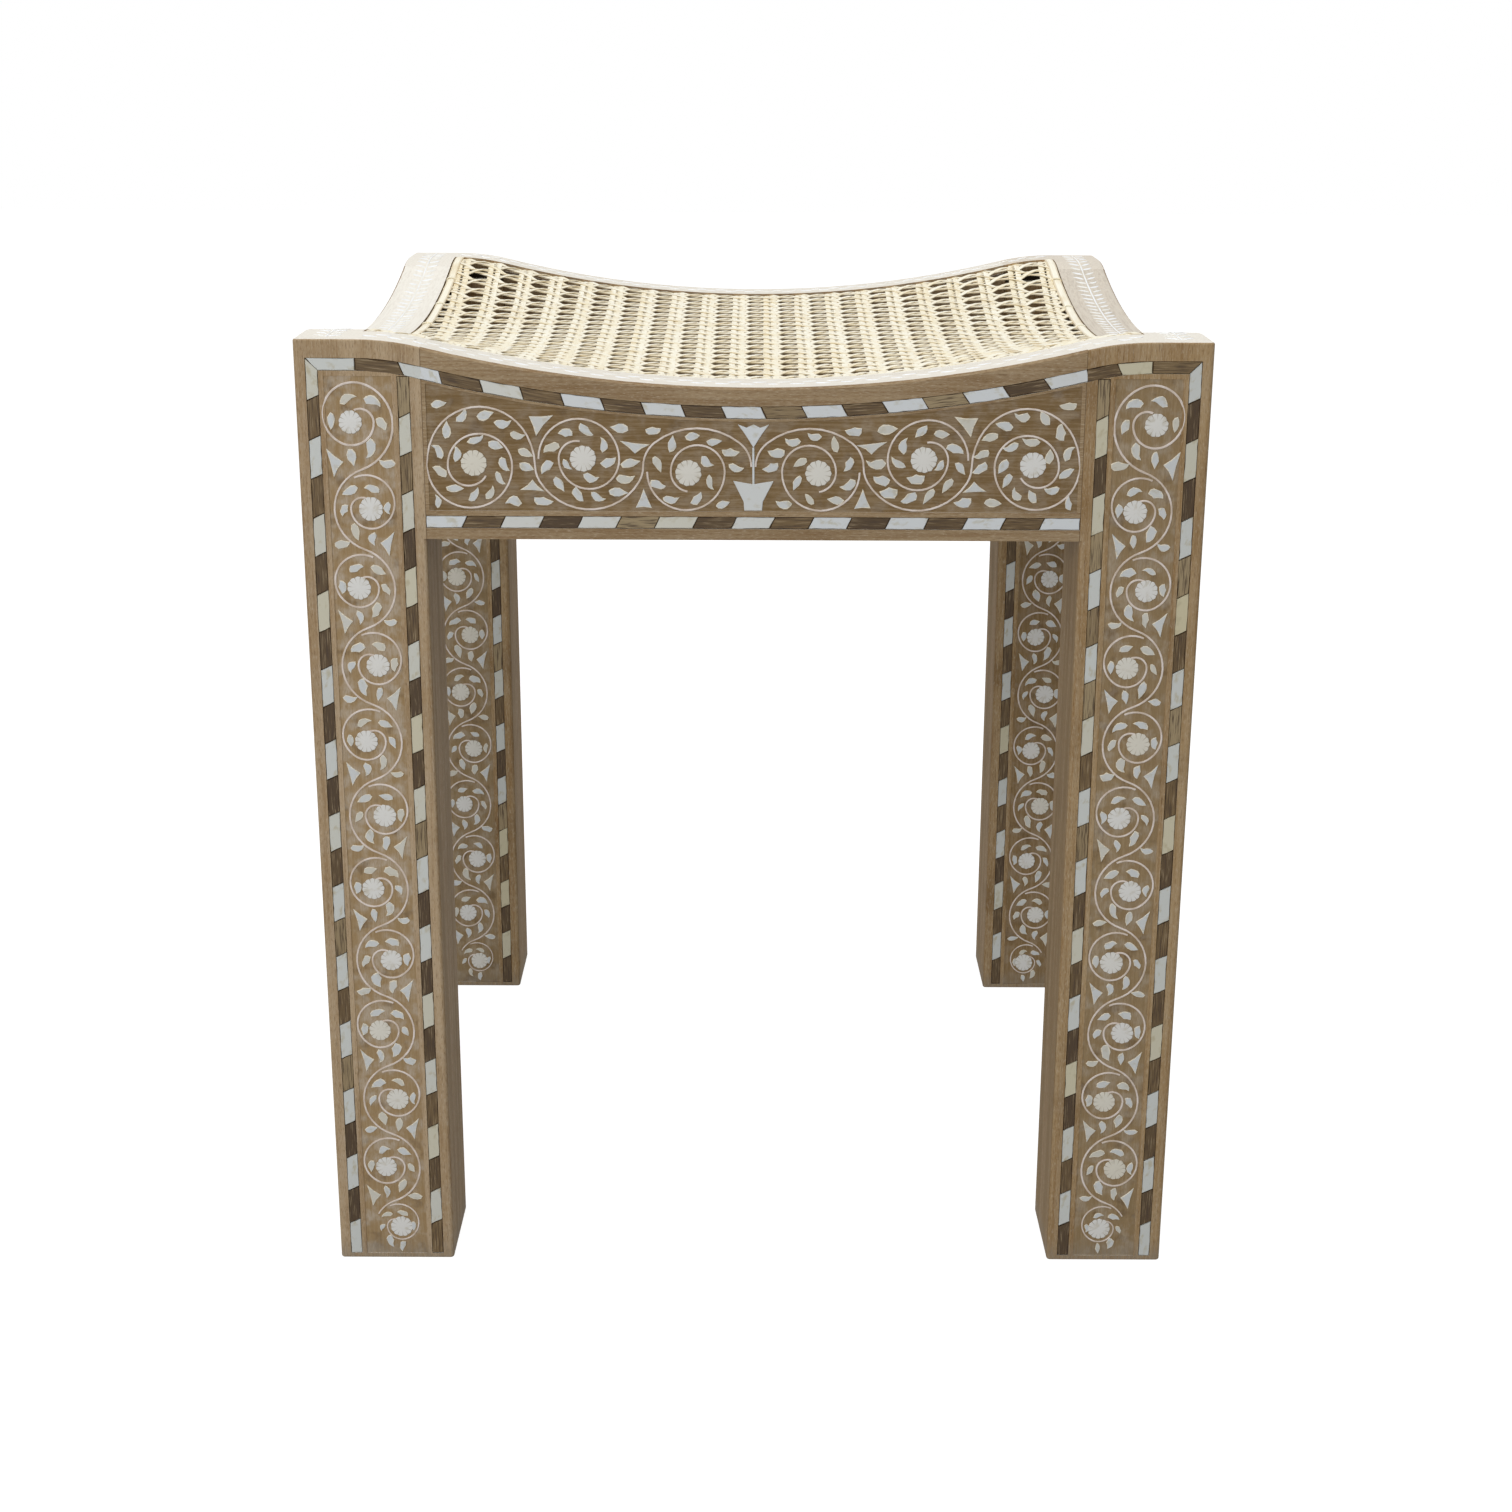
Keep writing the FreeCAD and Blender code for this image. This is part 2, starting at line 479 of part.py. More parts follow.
def build_left_apron():
    length = "2 * " + APRON_Y
    blank = box("LeftBlank", APRON_THICKNESS, length, "Sizes.apron_height", "-" + HALF_WIDTH,
                "-" + APRON_Y, APRON_BOTTOM)
    tenons = [
        box("LeftTenonFront", "Sizes.tenon_thickness", "Sizes.tenon_length", "Sizes.tenon_height",
            "-%s + Sizes.tenon_setback" % HALF_WIDTH, "-%s - Sizes.tenon_length" % APRON_Y,
            APRON_BOTTOM + " + Sizes.tenon_rise"),
        box("LeftTenonBack", "Sizes.tenon_thickness", "Sizes.tenon_length", "Sizes.tenon_height",
            "-%s + Sizes.tenon_setback" % HALF_WIDTH, APRON_Y, APRON_BOTTOM + " + Sizes.tenon_rise"),
    ]
    body = fuse("LeftBody", [blank] + tenons)
    centre = "Sizes.height - %s + Sizes.dish_radius" % SAG_Y
    left = "-%s - Sizes.overrun" % HALF_WIDTH
    deep = "Sizes.tile_depth + Sizes.overrun"
    hollow = cylinder("LeftHollow", "X", "Sizes.dish_radius", APRON_THICKNESS + " + 2 * Sizes.overrun",
                      left, "0", centre)
    ledge = cylinder("LeftLedge", "X", "Sizes.dish_radius + " + MAT_DEPTH,
                     "Sizes.ledge_width + Sizes.overrun", "-" + OPEN_X, "0", centre)
    rim_field = cylinder("LeftRimField", "X", "Sizes.dish_radius + Sizes.field_depth",
                         "Sizes.rim_field_width",
                         "-%s + (Sizes.rim_width - Sizes.rim_field_width) / 2" % HALF_WIDTH, "0", centre)
    top_strip = ring("LeftTopStrip", "X", "Sizes.dish_radius + Sizes.top_margin",
                     "Sizes.dish_radius + Sizes.top_margin + Sizes.tile_width", deep, left, "0", centre)
    low_strip = box("LeftLowStrip", deep, length, "Sizes.tile_width", left, "-" + APRON_Y,
                    APRON_BOTTOM + " + Sizes.edge_margin")
    field_block = box("LeftFieldBlock", "Sizes.field_depth + Sizes.overrun",
                      length + " - 2 * Sizes.end_margin", "Sizes.apron_height - " + FIELD_INSET,
                      left, "-%s + Sizes.end_margin" % APRON_Y, APRON_BOTTOM + " + " + FIELD_INSET)
    above = cylinder("LeftFieldTop", "X",
                     "Sizes.dish_radius + Sizes.top_margin + Sizes.tile_width + Sizes.band_width / 2",
                     "Sizes.field_depth + 2 * Sizes.overrun", left, "0", centre)
    field = cut("LeftField", field_block, above)
    easing = easing_cone("LeftEasing", "X", left, "0", centre)
    tools = fuse("LeftApronCuts", [hollow, easing, ledge, rim_field, top_strip, low_strip, field])
    return cut("LeftApron", body, tools)


# Flat outlines, drawn as u to the right and v up on a face seen from outside

def flat(points):
    """A flat face with straight sides."""
    corners = [Vector(u, v, 0) for u, v in points]
    return Part.Face(Part.makePolygon(corners + corners[:1]))


def curved(edges):
    return Part.Face(Part.Wire([edge.toShape() for edge in edges]))


def four_sided(top, low):
    """A face between two arcs, each given by three points from left to right."""
    return curved([arc_between(*top), Part.LineSegment(Vector(*top[2], 0), Vector(*low[2], 0)),
                   arc_between(*low[::-1]), Part.LineSegment(Vector(*low[0], 0), Vector(*top[0], 0))])


def turned(point, angle, centre=(0.0, 0.0)):
    c = math.cos(math.radians(angle))
    s = math.sin(math.radians(angle))
    return (centre[0] + point[0] * c - point[1] * s, centre[1] + point[0] * s + point[1] * c)


def arc_between(start, middle, end):
    return Part.Arc(Vector(*start, 0), Vector(*middle, 0), Vector(*end, 0))


def leaf(centre, angle, length, width):
    """A leaf with a blunt base and a pointed tip; the tip points along the angle."""
    half = length / 2
    base = width / 2 * LEAF_BASE_SHARE
    base_low = turned((-half, -base), angle, centre)
    base_high = turned((-half, base), angle, centre)
    tip = turned((half, 0), angle, centre)
    shoulder = -half + length * LEAF_SHOULDER_SHARE
    belly = turned((shoulder, -width / 2), angle, centre)
    back = turned((shoulder, width / 2), angle, centre)
    return curved([Part.LineSegment(Vector(*base_high, 0), Vector(*base_low, 0)),
                   arc_between(base_low, belly, tip), arc_between(tip, back, base_high)])


def rosette(centre, radius):
    """A round flower whose rim is a row of petals."""
    petals = []
    step = 360.0 / ROSETTE_PETALS
    for number in range(ROSETTE_PETALS):
        valley = turned((radius * ROSETTE_NOTCH_SHARE, 0), number * step, centre)
        peak = turned((radius, 0), (number + 0.5) * step, centre)
        following = turned((radius * ROSETTE_NOTCH_SHARE, 0), (number + 1) * step, centre)
        petals.append(arc_between(valley, peak, following))
    return curved(petals)


def wire_along(start, heading, turns):
    """A vine wire of tangent arcs; each turn is a radius and a sweep in degrees, positive to the left."""
    half = size("wire_width") / 2
    rims = ([], [])
    place = start
    for radius, sweep in turns:
        side = 1 if sweep > 0 else -1
        centre = turned((0, side * radius), heading, place)
        for rim, offset in zip(rims, (-side * half, side * half)):
            spoke = (0, -side * (radius + offset))
            rim.append([turned(spoke, heading + part * sweep, centre) for part in (0, 0.5, 1)])
        heading += sweep
        place = turned((0, -side * radius), heading, centre)
    left, right = rims
    edges = [arc_between(*points) for points in left]
    edges.append(Part.LineSegment(Vector(*left[-1][2], 0), Vector(*right[-1][2], 0)))
    edges += [arc_between(*points[::-1]) for points in right[::-1]]
    edges.append(Part.LineSegment(Vector(*right[0][0], 0), Vector(*left[0][0], 0)))
    return curved(edges)


def flipped(start, heading, turns):
    """The same wire with left and right exchanged."""
    return (-start[0], start[1]), 180 - heading, [(radius, -sweep) for radius, sweep in turns]


def flat_arch(half_span, rise, springing, side):
    """Three tangent arcs that make a half turn flatter than a half circle; side is 1 to the left."""
    top = (half_span ** 2 + rise ** 2 - 2 * half_span * springing) / (2 * (rise - springing))
    lean = math.degrees(math.atan2(top - rise, half_span - springing)) % 180
    return [(springing, side * lean), (top, side * (180 - 2 * lean)), (springing, side * lean)]


# Solids on faces

def facing(origin, normal):
    """Places a flat drawing on a face: u to the right seen from outside, v as near to up as can be."""
    right = Vector(0, 0, 1).cross(normal).normalize()
    up = normal.cross(right)
    return Placement(Matrix(right.x, up.x, normal.x, origin.x, right.y, up.y, normal.y, origin.y,
                            right.z, up.z, normal.z, origin.z, 0, 0, 0, 1))


def inlaid(faces, thickness, placement):
    """Thin pieces flush with the face, which rest on the cut ground."""
    pieces = []
    for face in faces:
        piece = face.extrude(Vector(0, 0, thickness))
        piece.Placement = placement.multiply(Placement(Vector(0, 0, -thickness), Rotation()))
        pieces.append(piece)
    return pieces


def shifted(points, u, v, scale=1.0, side=1):
    return [(u + side * scale * a, v + scale * b) for a, b in points]


# Tile strips

def tile_ends(start, stop):
    """Where the tiles of a strip meet: an odd number of one length, so that both ends are alike."""
    count = 2 * round(((stop - start) / size("tile_length") - 1) / 2) + 1
    return [start + (stop - start) * number / count for number in range(count + 1)]


def upright_tiles(left, low, high):
    """The tiles of a vertical strip; their ends rise to the right."""
    ends = tile_ends(low, high)
    width = size("tile_width")
    lean = size("tile_slant") / 2
    tiles = []
    for number, (bottom, top) in enumerate(zip(ends, ends[1:])):
        under = 0 if number == 0 else lean
        over = 0 if number == len(ends) - 2 else lean
        tiles.append(flat([(left, bottom - under), (left + width, bottom + under),
                           (left + width, top + over), (left, top - over)]))
    return tiles[::2], tiles[1::2]


def level_tiles(low, left, right):
    """The tiles of a horizontal strip; their ends lean to the right."""
    ends = tile_ends(left, right)
    width = size("tile_width")
    lean = size("tile_slant") / 2
    tiles = []
    for number, (begin, end) in enumerate(zip(ends, ends[1:])):
        before = 0 if number == 0 else lean
        after = 0 if number == len(ends) - 2 else lean
        tiles.append(flat([(begin - before, low), (end - after, low), (end + after, low + width),
                           (begin + before, low + width)]))
    return tiles[::2], tiles[1::2]


def hollow_point(place, below, sag, level):
    """A point under the hollowed edge of an apron, measured square to that edge."""
    angle = math.asin(place / dish)
    reach = dish + below
    return (reach * math.sin(angle), level - sag + dish - reach * math.cos(angle))


def hollow_tiles(half_length, sag, level):
    """The tiles of an apron's upper strip, which follows the hollow; their ends lean to the left."""
    ends = tile_ends(-half_length - size("joint_tile"), half_length)
    ends[0] = -half_length
    upper = size("top_margin")
    lower = upper + size("tile_width")
    lean = size("tile_slant") / 2
    shrink = dish / (dish + upper)
    tiles = []
    for number, (begin, end) in enumerate(zip(ends, ends[1:])):
        before = 0 if number == 0 else lean
        after = 0 if number == len(ends) - 2 else lean
        corners = []
        rows = ((upper, begin - before, end - after), (lower, begin + before, end + after))
        for below, near, far in rows:
            near_place = near * shrink if number else near * dish / (dish + below)
            far_place = far * shrink if number < len(ends) - 2 else far * dish / (dish + below)
            middle = (near_place + far_place) / 2
            spots = (near_place, middle, far_place)
            corners.append([hollow_point(spot, below, sag, level) for spot in spots])
        top, low = corners
        tiles.append(four_sided(top, low))
    return tiles[::2], tiles[1::2]


# The scroll of a leg's face

def leg_scroll(width, low, high, side):
    """Wires, rosettes and leaves between two heights; side is 1 where the top unit's stem is on the right."""
    middle = width / 2
    count = round((high - low) / (LEG_PITCH_SHARE * (width - 2 * field_inset)))
    shares = [TOP_UNIT_SHARE] + [1.0] * (count - 2) + [LAST_UNIT_SHARE]
    # The stem is an arc in each unit, from side to side of the middle line.
    offset_share = (0.25 - STEM_SWING_SHARE ** 2) / (2 * STEM_SWING_SHARE)
    radius_share = offset_share + STEM_SWING_SHARE
    sweep = 2 * math.degrees(math.acos(offset_share / radius_share))
    wires = []
    rosettes = []
    leaves = []
    turn = side
    stem_turns = []
    top = high
    for number, share in enumerate(shares):
        pitch = (high - low) * share / sum(shares)
        centre_v = top - pitch / 2
        hand = -turn
        last = number == count - 1
        start, heading, turns = SPIRAL_START_SHARES, SPIRAL_HEADING, SPIRAL_TURNS_SHARES
        if number == 0:
            start, heading, turns = (-STEM_SWING_SHARE, 0), 90, (TOP_BEND_SHARES,) + turns
        start = (start[0] * pitch, start[1] * pitch)
        turns = [(radius * pitch, angle) for radius, angle in turns]
        if hand < 0:
            start, heading, turns = flipped(start, heading, turns)
        wires.append(wire_along((middle + start[0], centre_v + start[1]), heading, turns))
        rosettes.append(rosette((middle + hand * ROSETTE_PLACE_SHARES[0] * pitch,
                                 centre_v + ROSETTE_PLACE_SHARES[1] * pitch), size("rosette_radius")))
        for along, above, angle, length in LEG_LEAF_SHARES:
            if last and above < LAST_LEAF_SHARE:
                continue
            leaves.append(leaf((middle + hand * along * pitch, centre_v + above * pitch),
                               angle if hand > 0 else 180 - angle,
                               length * size("leaf_length") * pitch / leg_pitch,
                               size("leaf_width") * pitch / leg_pitch))
        if not last:
            leaves.append(flat(shifted(LEG_TRIANGLE_SHARES, middle, centre_v, pitch, hand)))
        part = 0.5 if number == 0 else STEM_END_SHARE if last else 1
        stem_turns.append((radius_share * pitch, -turn * sweep * part))
        turn = -turn
        top -= pitch
    top_pitch = (high - low) * TOP_UNIT_SHARE / sum(shares)
    stem_start = (middle + side * STEM_SWING_SHARE * top_pitch, high - top_pitch / 2)
    wires.append(wire_along(stem_start, 270, stem_turns))
    return wires, rosettes, leaves


# The scroll of an apron's face, with u from its middle and v from the floor

def apron_scroll(half_length):
    pitch = 2 * (half_length - size("end_margin")) / APRON_UNITS
    ground = apron_bottom + field_inset
    level = ground + MIDDLE_LINE_SHARE * pitch
    # The three strands of a half stand a wire's width apart where they meet.
    gap = size("wire_width")
    half = pitch / 2 - size("wire_width") / 2 / APRON_UNITS

    stem = []
    for rise, springing, way in STEM_ARCHES_SHARES:
        stem += flat_arch(half, rise * pitch, springing * pitch, way)
    stem += [(share * pitch, 180) for share in OUTER_SPIRAL_SHARES]
    stem[-1] = (stem[-1][0], LAST_SWEEPS[0])
    middle = [(share * pitch, -180) for share in MIDDLE_SPIRAL_SHARES]
    middle[-1] = (middle[-1][0], -LAST_SWEEPS[1])
    inner = [(share * pitch, 180) for share in INNER_SPIRAL_SHARES]
    inner[-1] = (inner[-1][0], LAST_SWEEPS[2])
    middle_start, inner_start = (level + share * pitch for share in STRAND_START_SHARES)
    strands = [
        ((-gap, level), 90, stem),
        ((-2 * pitch + gap, middle_start), 90, middle),
        ((-pitch + gap, inner_start), 270, inner),
    ]
    wires = []
    rosettes = []
    leaves = []
    for side in (-1, 1):
        for start, heading, turns in strands:
            if side > 0:
                start, heading, turns = flipped(start, heading, turns)
            wires.append(wire_along(start, heading, turns))
        for along, above in APRON_ROSETTE_SHARES:
            place = (side * along * pitch, level + above * pitch)
            rosettes.append(rosette(place, size("apron_rosette_radius")))
        leaves += apron_leaves(side, pitch, level)
    return wires, rosettes, leaves


def apron_leaves(side, pitch, level):
    """Leaves round the three spirals of a half apron, and those that fill the spaces between them."""
    length = size("leaf_length")
    width = size("leaf_width")
    leaves = []
    for along, above, angle, share in APRON_LEAF_SHARES:
        if side > 0:
            angle = 180 - angle
        leaves.append(leaf((side * along * pitch, level + above * pitch), angle, length * share, width))
    for corners in APRON_TRIANGLE_SHARES:
        leaves.append(flat(shifted(corners, 0, level, pitch, side)))
    return leaves


def tulip():
    """The flower, its stem and the vase at the middle of an apron, from the vase's foot upwards."""
    ground = apron_bottom + field_inset + size("wire_width") / 2
    half = size("tulip_width") / 2
    tall = size("tulip_height")
    vase_tall = size("vase_height")
    vase_top = ground + vase_tall
    mouth = size("vase_width") / 2
    foot = size("vase_foot_width") / 2
    top = apron_top - size("top_margin") - size("tile_width") - size("band_width")
    base = top - tall
    wire = size("wire_width") / 2
    right = [(half * across, base + tall * above) for across, above in TULIP_SHARES]
    left = [(-u, v) for u, v in right[::-1]]
    flower = flat([(0, base)] + right + [(0, top)] + left)
    notch = vase_top - vase_tall * VASE_NOTCH_SHARE
    neck = ground + vase_tall * VASE_NECK_SHARE
    vase = flat([(-foot, ground), (foot, ground), (foot, neck), (mouth, vase_top), (0, notch),
                 (-mouth, vase_top), (-foot, neck)])
    stem = flat([(-wire, notch), (wire, notch), (wire, base), (-wire, base)])
    return [flower, vase, stem]


# Inlay of the legs

def add_node(name, pieces):
    """A node that is a group of separate solids."""
    thing = doc.addObject("Part::Feature", name)
    thing.Label = name
    thing.Shape = Part.makeCompound(pieces)
    thing.Placement = Placement()
    nodes.append(thing)
    return thing


def leg_rim_tiles(span, crown, outer_left):
    """Bone and dark tiles of a leg's top strip, which starts flat and follows the start of the hollow."""
    upper = size("top_margin")
    lower = upper + size("tile_width")
    rim = size("rim_width")
    level = size("height")
    lean = size("tile_slant") / 2

    def spot(along, below):
        if along <= rim:
            u, v = along, level - below
        else:
            angle = math.asin((along - rim) / (crown - below))
            u = rim + (crown - below) * math.sin(angle)
            v = level - crown + (crown - below) * math.cos(angle)
        return (u if outer_left else span - u, v)

    inner_end = span - size("joint_tile") if outer_left else (rim + span) / 2
    ends = [strip_inset, rim, inner_end, span]
    slant = -lean if outer_left else lean
    tiles = []
    for number, (begin, end) in enumerate(zip(ends, ends[1:])):
        near = slant if number == 2 else 0
        far = slant if number == 1 else 0
        top = [spot(along, upper) for along in (begin + near, (begin + end) / 2, end + far)]
        low = [spot(along, lower) for along in (begin - near, (begin + end) / 2, end - far)]
        if number == 0:
            tiles.append(flat([top[0], top[2], low[2], low[0]]))
        else:
            tiles.append(four_sided(top, low))
    return (tiles[::2], tiles[1::2]) if outer_left else (tiles[1::2], tiles[::2])


def inlay_leg(name, side_x, side_y):
    """Tiles, wires, rosettes and leaves of one leg's two outward faces and its face across the stool."""
    corner = Vector(side_x * half_width, side_y * half_depth, 0)
    across = Vector(side_x * apron_x, side_y * half_depth, 0)
    behind = Vector(side_x * half_width, side_y * apron_y, 0)
    far = Vector(side_x * apron_x, side_y * apron_y, 0)
    faces = [
        (corner, across, Vector(0, side_y, 0), crown_x, True),
        (corner, behind, Vector(side_x, 0, 0), crown_y, True),
        (behind, far, Vector(0, -side_y, 0), crown_x, False),
    ]
    bone, dark, wires, rosettes, leaves = [], [], [], [], []
    foot = size("foot_margin")
    for outer, inner, normal, crown, full in faces:
        span = (inner - outer).Length
        right = Vector(0, 0, 1).cross(normal)
        outer_left = right.dot(inner - outer) > 0
        place = facing(outer if outer_left else inner, normal)
        if full:
            strip_top = size("height") - size("top_margin")
            reach = span - size("rim_width") - size("edge_margin")
            inner_top = strip_top - size("tile_width") - crown + math.sqrt(crown ** 2 - reach ** 2)
            field_top = leg_field_top
        else:
            strip_top = inner_top = field_top = apron_bottom - size("band_width")
        places = (size("edge_margin"), span - strip_inset)
        outer_u, inner_u = places if outer_left else places[::-1]
        runs = [upright_tiles(outer_u, foot, strip_top), upright_tiles(inner_u, foot, inner_top)[::-1]]
        if full:
            runs.append(leg_rim_tiles(span, crown, outer_left))
        for pale, brown in runs:
            bone += inlaid(pale, size("tile_depth"), place)
            dark += inlaid(brown, size("tile_depth"), place)
        drawn = leg_scroll(span, foot, field_top, 1 if outer_left else -1)
        for collected, shapes in zip((wires, rosettes, leaves), drawn):
            collected += inlaid(shapes, size("field_depth"), place)
    for kind, pieces in (("bone_tiles", bone), ("dark_tiles", dark), ("vines", wires),
                         ("rosettes", rosettes), ("leaves", leaves)):
        add_node("%s_leg_%s" % (name, kind), pieces)


# Inlay of the aprons

def rim_leaves(half_length, sag, turn, across, pairs):
    """Leaves let into an apron's hollowed top; across is the rim's middle line."""
    pitch = size("rim_pair_pitch") if pairs else size("rim_leaf_pitch")
    count = int(2 * half_length / pitch)
    length = size("leaf_length")
    width = size("leaf_width") * RIM_LEAF_WIDTH_SHARE
    if pairs:
        shapes = [leaf((0, side * length / 2), side * RIM_LEAF_LEAN, length, width) for side in (-1, 1)]
    else:
        shapes = [leaf((0, 0), 0, length, width)]
    pieces = []
    for number in range(count):
        place = (number + 0.5) * pitch - count * pitch / 2
        along, level = hollow_point(place, 0, sag, size("height"))
        tilt = math.degrees(math.asin(place / dish))
        if turn:
            rotation = Rotation(Vector(1, 0, 0), tilt).multiply(Rotation(Vector(0, 0, 1), 90))
            origin = Vector(across, along, level)
        else:
            rotation = Rotation(Vector(0, 1, 0), -tilt)
            origin = Vector(along, across, level)
        pieces += inlaid(shapes, size("field_depth"), Placement(origin, rotation))
    return pieces


def rim_line(half_length, sag, across):
    """The line along the middle of a side rim."""
    upper = [hollow_point(place, 0, sag, size("height")) for place in (-half_length, 0, half_length)]
    lower = [hollow_point(place, size("field_depth"), sag, size("height"))
             for place in (half_length, 0, -half_length)]
    face = curved([arc_between(*upper), Part.LineSegment(Vector(*upper[2], 0), Vector(*lower[0], 0)),
                   arc_between(*lower), Part.LineSegment(Vector(*lower[2], 0), Vector(*upper[0], 0))])
    wire = size("wire_width")
    solid = face.extrude(Vector(0, 0, wire))
    upright = Rotation(Vector(0, 0, 1), 90).multiply(Rotation(Vector(1, 0, 0), 90))
    solid.Placement = Placement(Vector(across - wire / 2, 0, 0), upright)
    return [solid]


def inlay_apron(name, normal, half_length, sag):
    """Tiles, scroll, tulip and rim leaves of one apron."""
    side_wise = abs(normal.x) > abs(normal.y)
    reach = half_width if side_wise else half_depth
    place = facing(normal * reach, normal)
    runs = [hollow_tiles(half_length, sag, size("height")),
            level_tiles(apron_bottom + size("edge_margin"), -half_length, half_length)]
    bone, dark = [], []
    for pale, brown in runs:
        bone += inlaid(pale, size("tile_depth"), place)
        dark += inlaid(brown, size("tile_depth"), place)
    wires, rosettes, leaves = apron_scroll(half_length)
    depth = size("field_depth")
    groups = [("bone_tiles", bone), ("dark_tiles", dark), ("vines", inlaid(wires, depth, place)),
              ("rosettes", inlaid(rosettes, depth, place)), ("leaves", inlaid(leaves, depth, place)),
              ("tulip", inlaid(tulip(), depth, place))]
    middle = (reach - size("rim_width") / 2) * (normal.x + normal.y)
    rim = rim_leaves(half_length, sag, side_wise, middle, side_wise)
    if side_wise:
        rim += rim_line(half_length, sag, middle)
    groups.append(("rim_inlay", rim))
    for kind, pieces in groups:
        add_node("%s_apron_%s" % (name, kind), pieces)


# Cane seat

def seat_level(x, y):
    """The cane's top: it follows all four rims and stays level along its middle lines."""
    share_x = drop_x(x) / sag_x
    return size("height") - size("cane_recess") - drop_x(x) - drop_y(y) * (1 - share_x)


def spread(limit, count):
    return [-limit + 2 * limit * number / (count - 1) for number in range(count)]


def build_cane_panel():
    """A dished net with one gap for each group of strands."""
    limit_x = open_x - size("cane_play")
    limit_y = open_y - size("cane_play")
    grid = [[Vector(x, y, seat_level(x, y)) for y in spread(limit_y, SEAT_GRID)]
            for x in spread(limit_x, SEAT_GRID)]
    top = Part.BSplineSurface()
    top.interpolate(grid)
    mat = top.toShape().extrude(Vector(0, 0, -size("cane_thickness")))
    net_x = limit_x - size("cane_border")
    net_y = limit_y - size("cane_border")
    columns = int(2 * net_x / size("cane_column_pitch"))
    rows = int(2 * net_y / size("cane_row_pitch"))
    floor = size("height") - 2 * sag_x - size("corner_rebate")
    tall = size("height") - floor
    holes = []
    for column in range(columns):
        for row in range(rows):
            x = (column + 0.5 - columns / 2) * size("cane_column_pitch")
            y = (row + 0.5 - rows / 2) * size("cane_row_pitch")
            a = size("cane_hole_width") / 2
            b = size("cane_hole_length") / 2
            holes.append([Vector(x - a, y - b, floor), Vector(x + a, y - b, floor),
                          Vector(x + a, y + b, floor), Vector(x - a, y + b, floor)])
    outline = [Vector(-half_width, -half_depth, floor), Vector(half_width, -half_depth, floor),
               Vector(half_width, half_depth, floor), Vector(-half_width, half_depth, floor)]
    wires = [Part.makePolygon(points + points[:1]) for points in [outline] + holes]
    net = Part.makeFace(wires, "Part::FaceMakerBullseye").extrude(Vector(0, 0, tall))
    return mat.common(net).Solids


def build_binders():
    """Flat strips that lie on the cane along the left and right rims."""
    limit = open_y - size("cane_play")
    low = [Vector(0, y, seat_level(open_x, y)) for y in spread(limit, SEAT_GRID)]
    thick = Vector(0, 0, size("binder_thickness"))
    curve = Part.BSplineCurve()
    curve.interpolate(low)
    face = curve.toShape().extrude(thick)
    strips = []
    for side in (-1, 1):
        strip = face.extrude(Vector(size("binder_width"), 0, 0))
        start = open_x - size("binder_inset") - size("binder_width")
        strip.translate(Vector(start if side > 0 else -start - size("binder_width"), 0, 0))
        strips.append(strip)
    return strips


# Everything together

nodes = []
front_left = build_leg()
front_apron = build_front_apron()
left_apron = build_left_apron()
front_right = mirrored("FrontRightLeg", front_left, Vector(1, 0, 0))
wood = [
    ("front_left_leg", front_left),
    ("front_right_leg", front_right),
    ("back_left_leg", mirrored("BackLeftLeg", front_left, Vector(0, 1, 0))),
    ("back_right_leg", mirrored("BackRightLeg", front_right, Vector(0, 1, 0))),
    ("front_apron", front_apron),
    ("back_apron", mirrored("BackApron", front_apron, Vector(0, 1, 0))),
    ("left_apron", left_apron),
    ("right_apron", mirrored("RightApron", left_apron, Vector(1, 0, 0))),
]
for label, thing in wood:
    thing.Label = label
    nodes.append(thing)
doc.recompute()

add_node("cane_panel", build_cane_panel())
add_node("cane_binders", build_binders())
for side_y, row_name in ((-1, "front"), (1, "back")):
    for side_x, column_name in ((-1, "left"), (1, "right")):
        inlay_leg("%s_%s" % (row_name, column_name), side_x, side_y)
inlay_apron("front", Vector(0, -1, 0), apron_x, sag_x)
inlay_apron("back", Vector(0, 1, 0), apron_x, sag_x)
inlay_apron("left", Vector(-1, 0, 0), apron_y, sag_y)
inlay_apron("right", Vector(1, 0, 0), apron_y, sag_y)
doc.recompute()

for thing in doc.Objects:
    if "Invalid" in thing.State or "Error" in thing.State:
        raise RuntimeError("%s failed: %s" % (thing.Label, thing.State))
os.makedirs("parts", exist_ok=True)
for thing in nodes:
    if thing.Shape.isNull() or not thing.Shape.isValid():
        raise RuntimeError("%s has no valid shape" % thing.Label)
    thing.Shape.exportStep("parts/%s.step" % thing.Label)
    print("%-32s %4d solids %10.1f mm3" % (thing.Label, len(thing.Shape.Solids), thing.Shape.Volume))
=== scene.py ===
import math
import random

import bpy
from mathutils import Matrix, Vector, noise


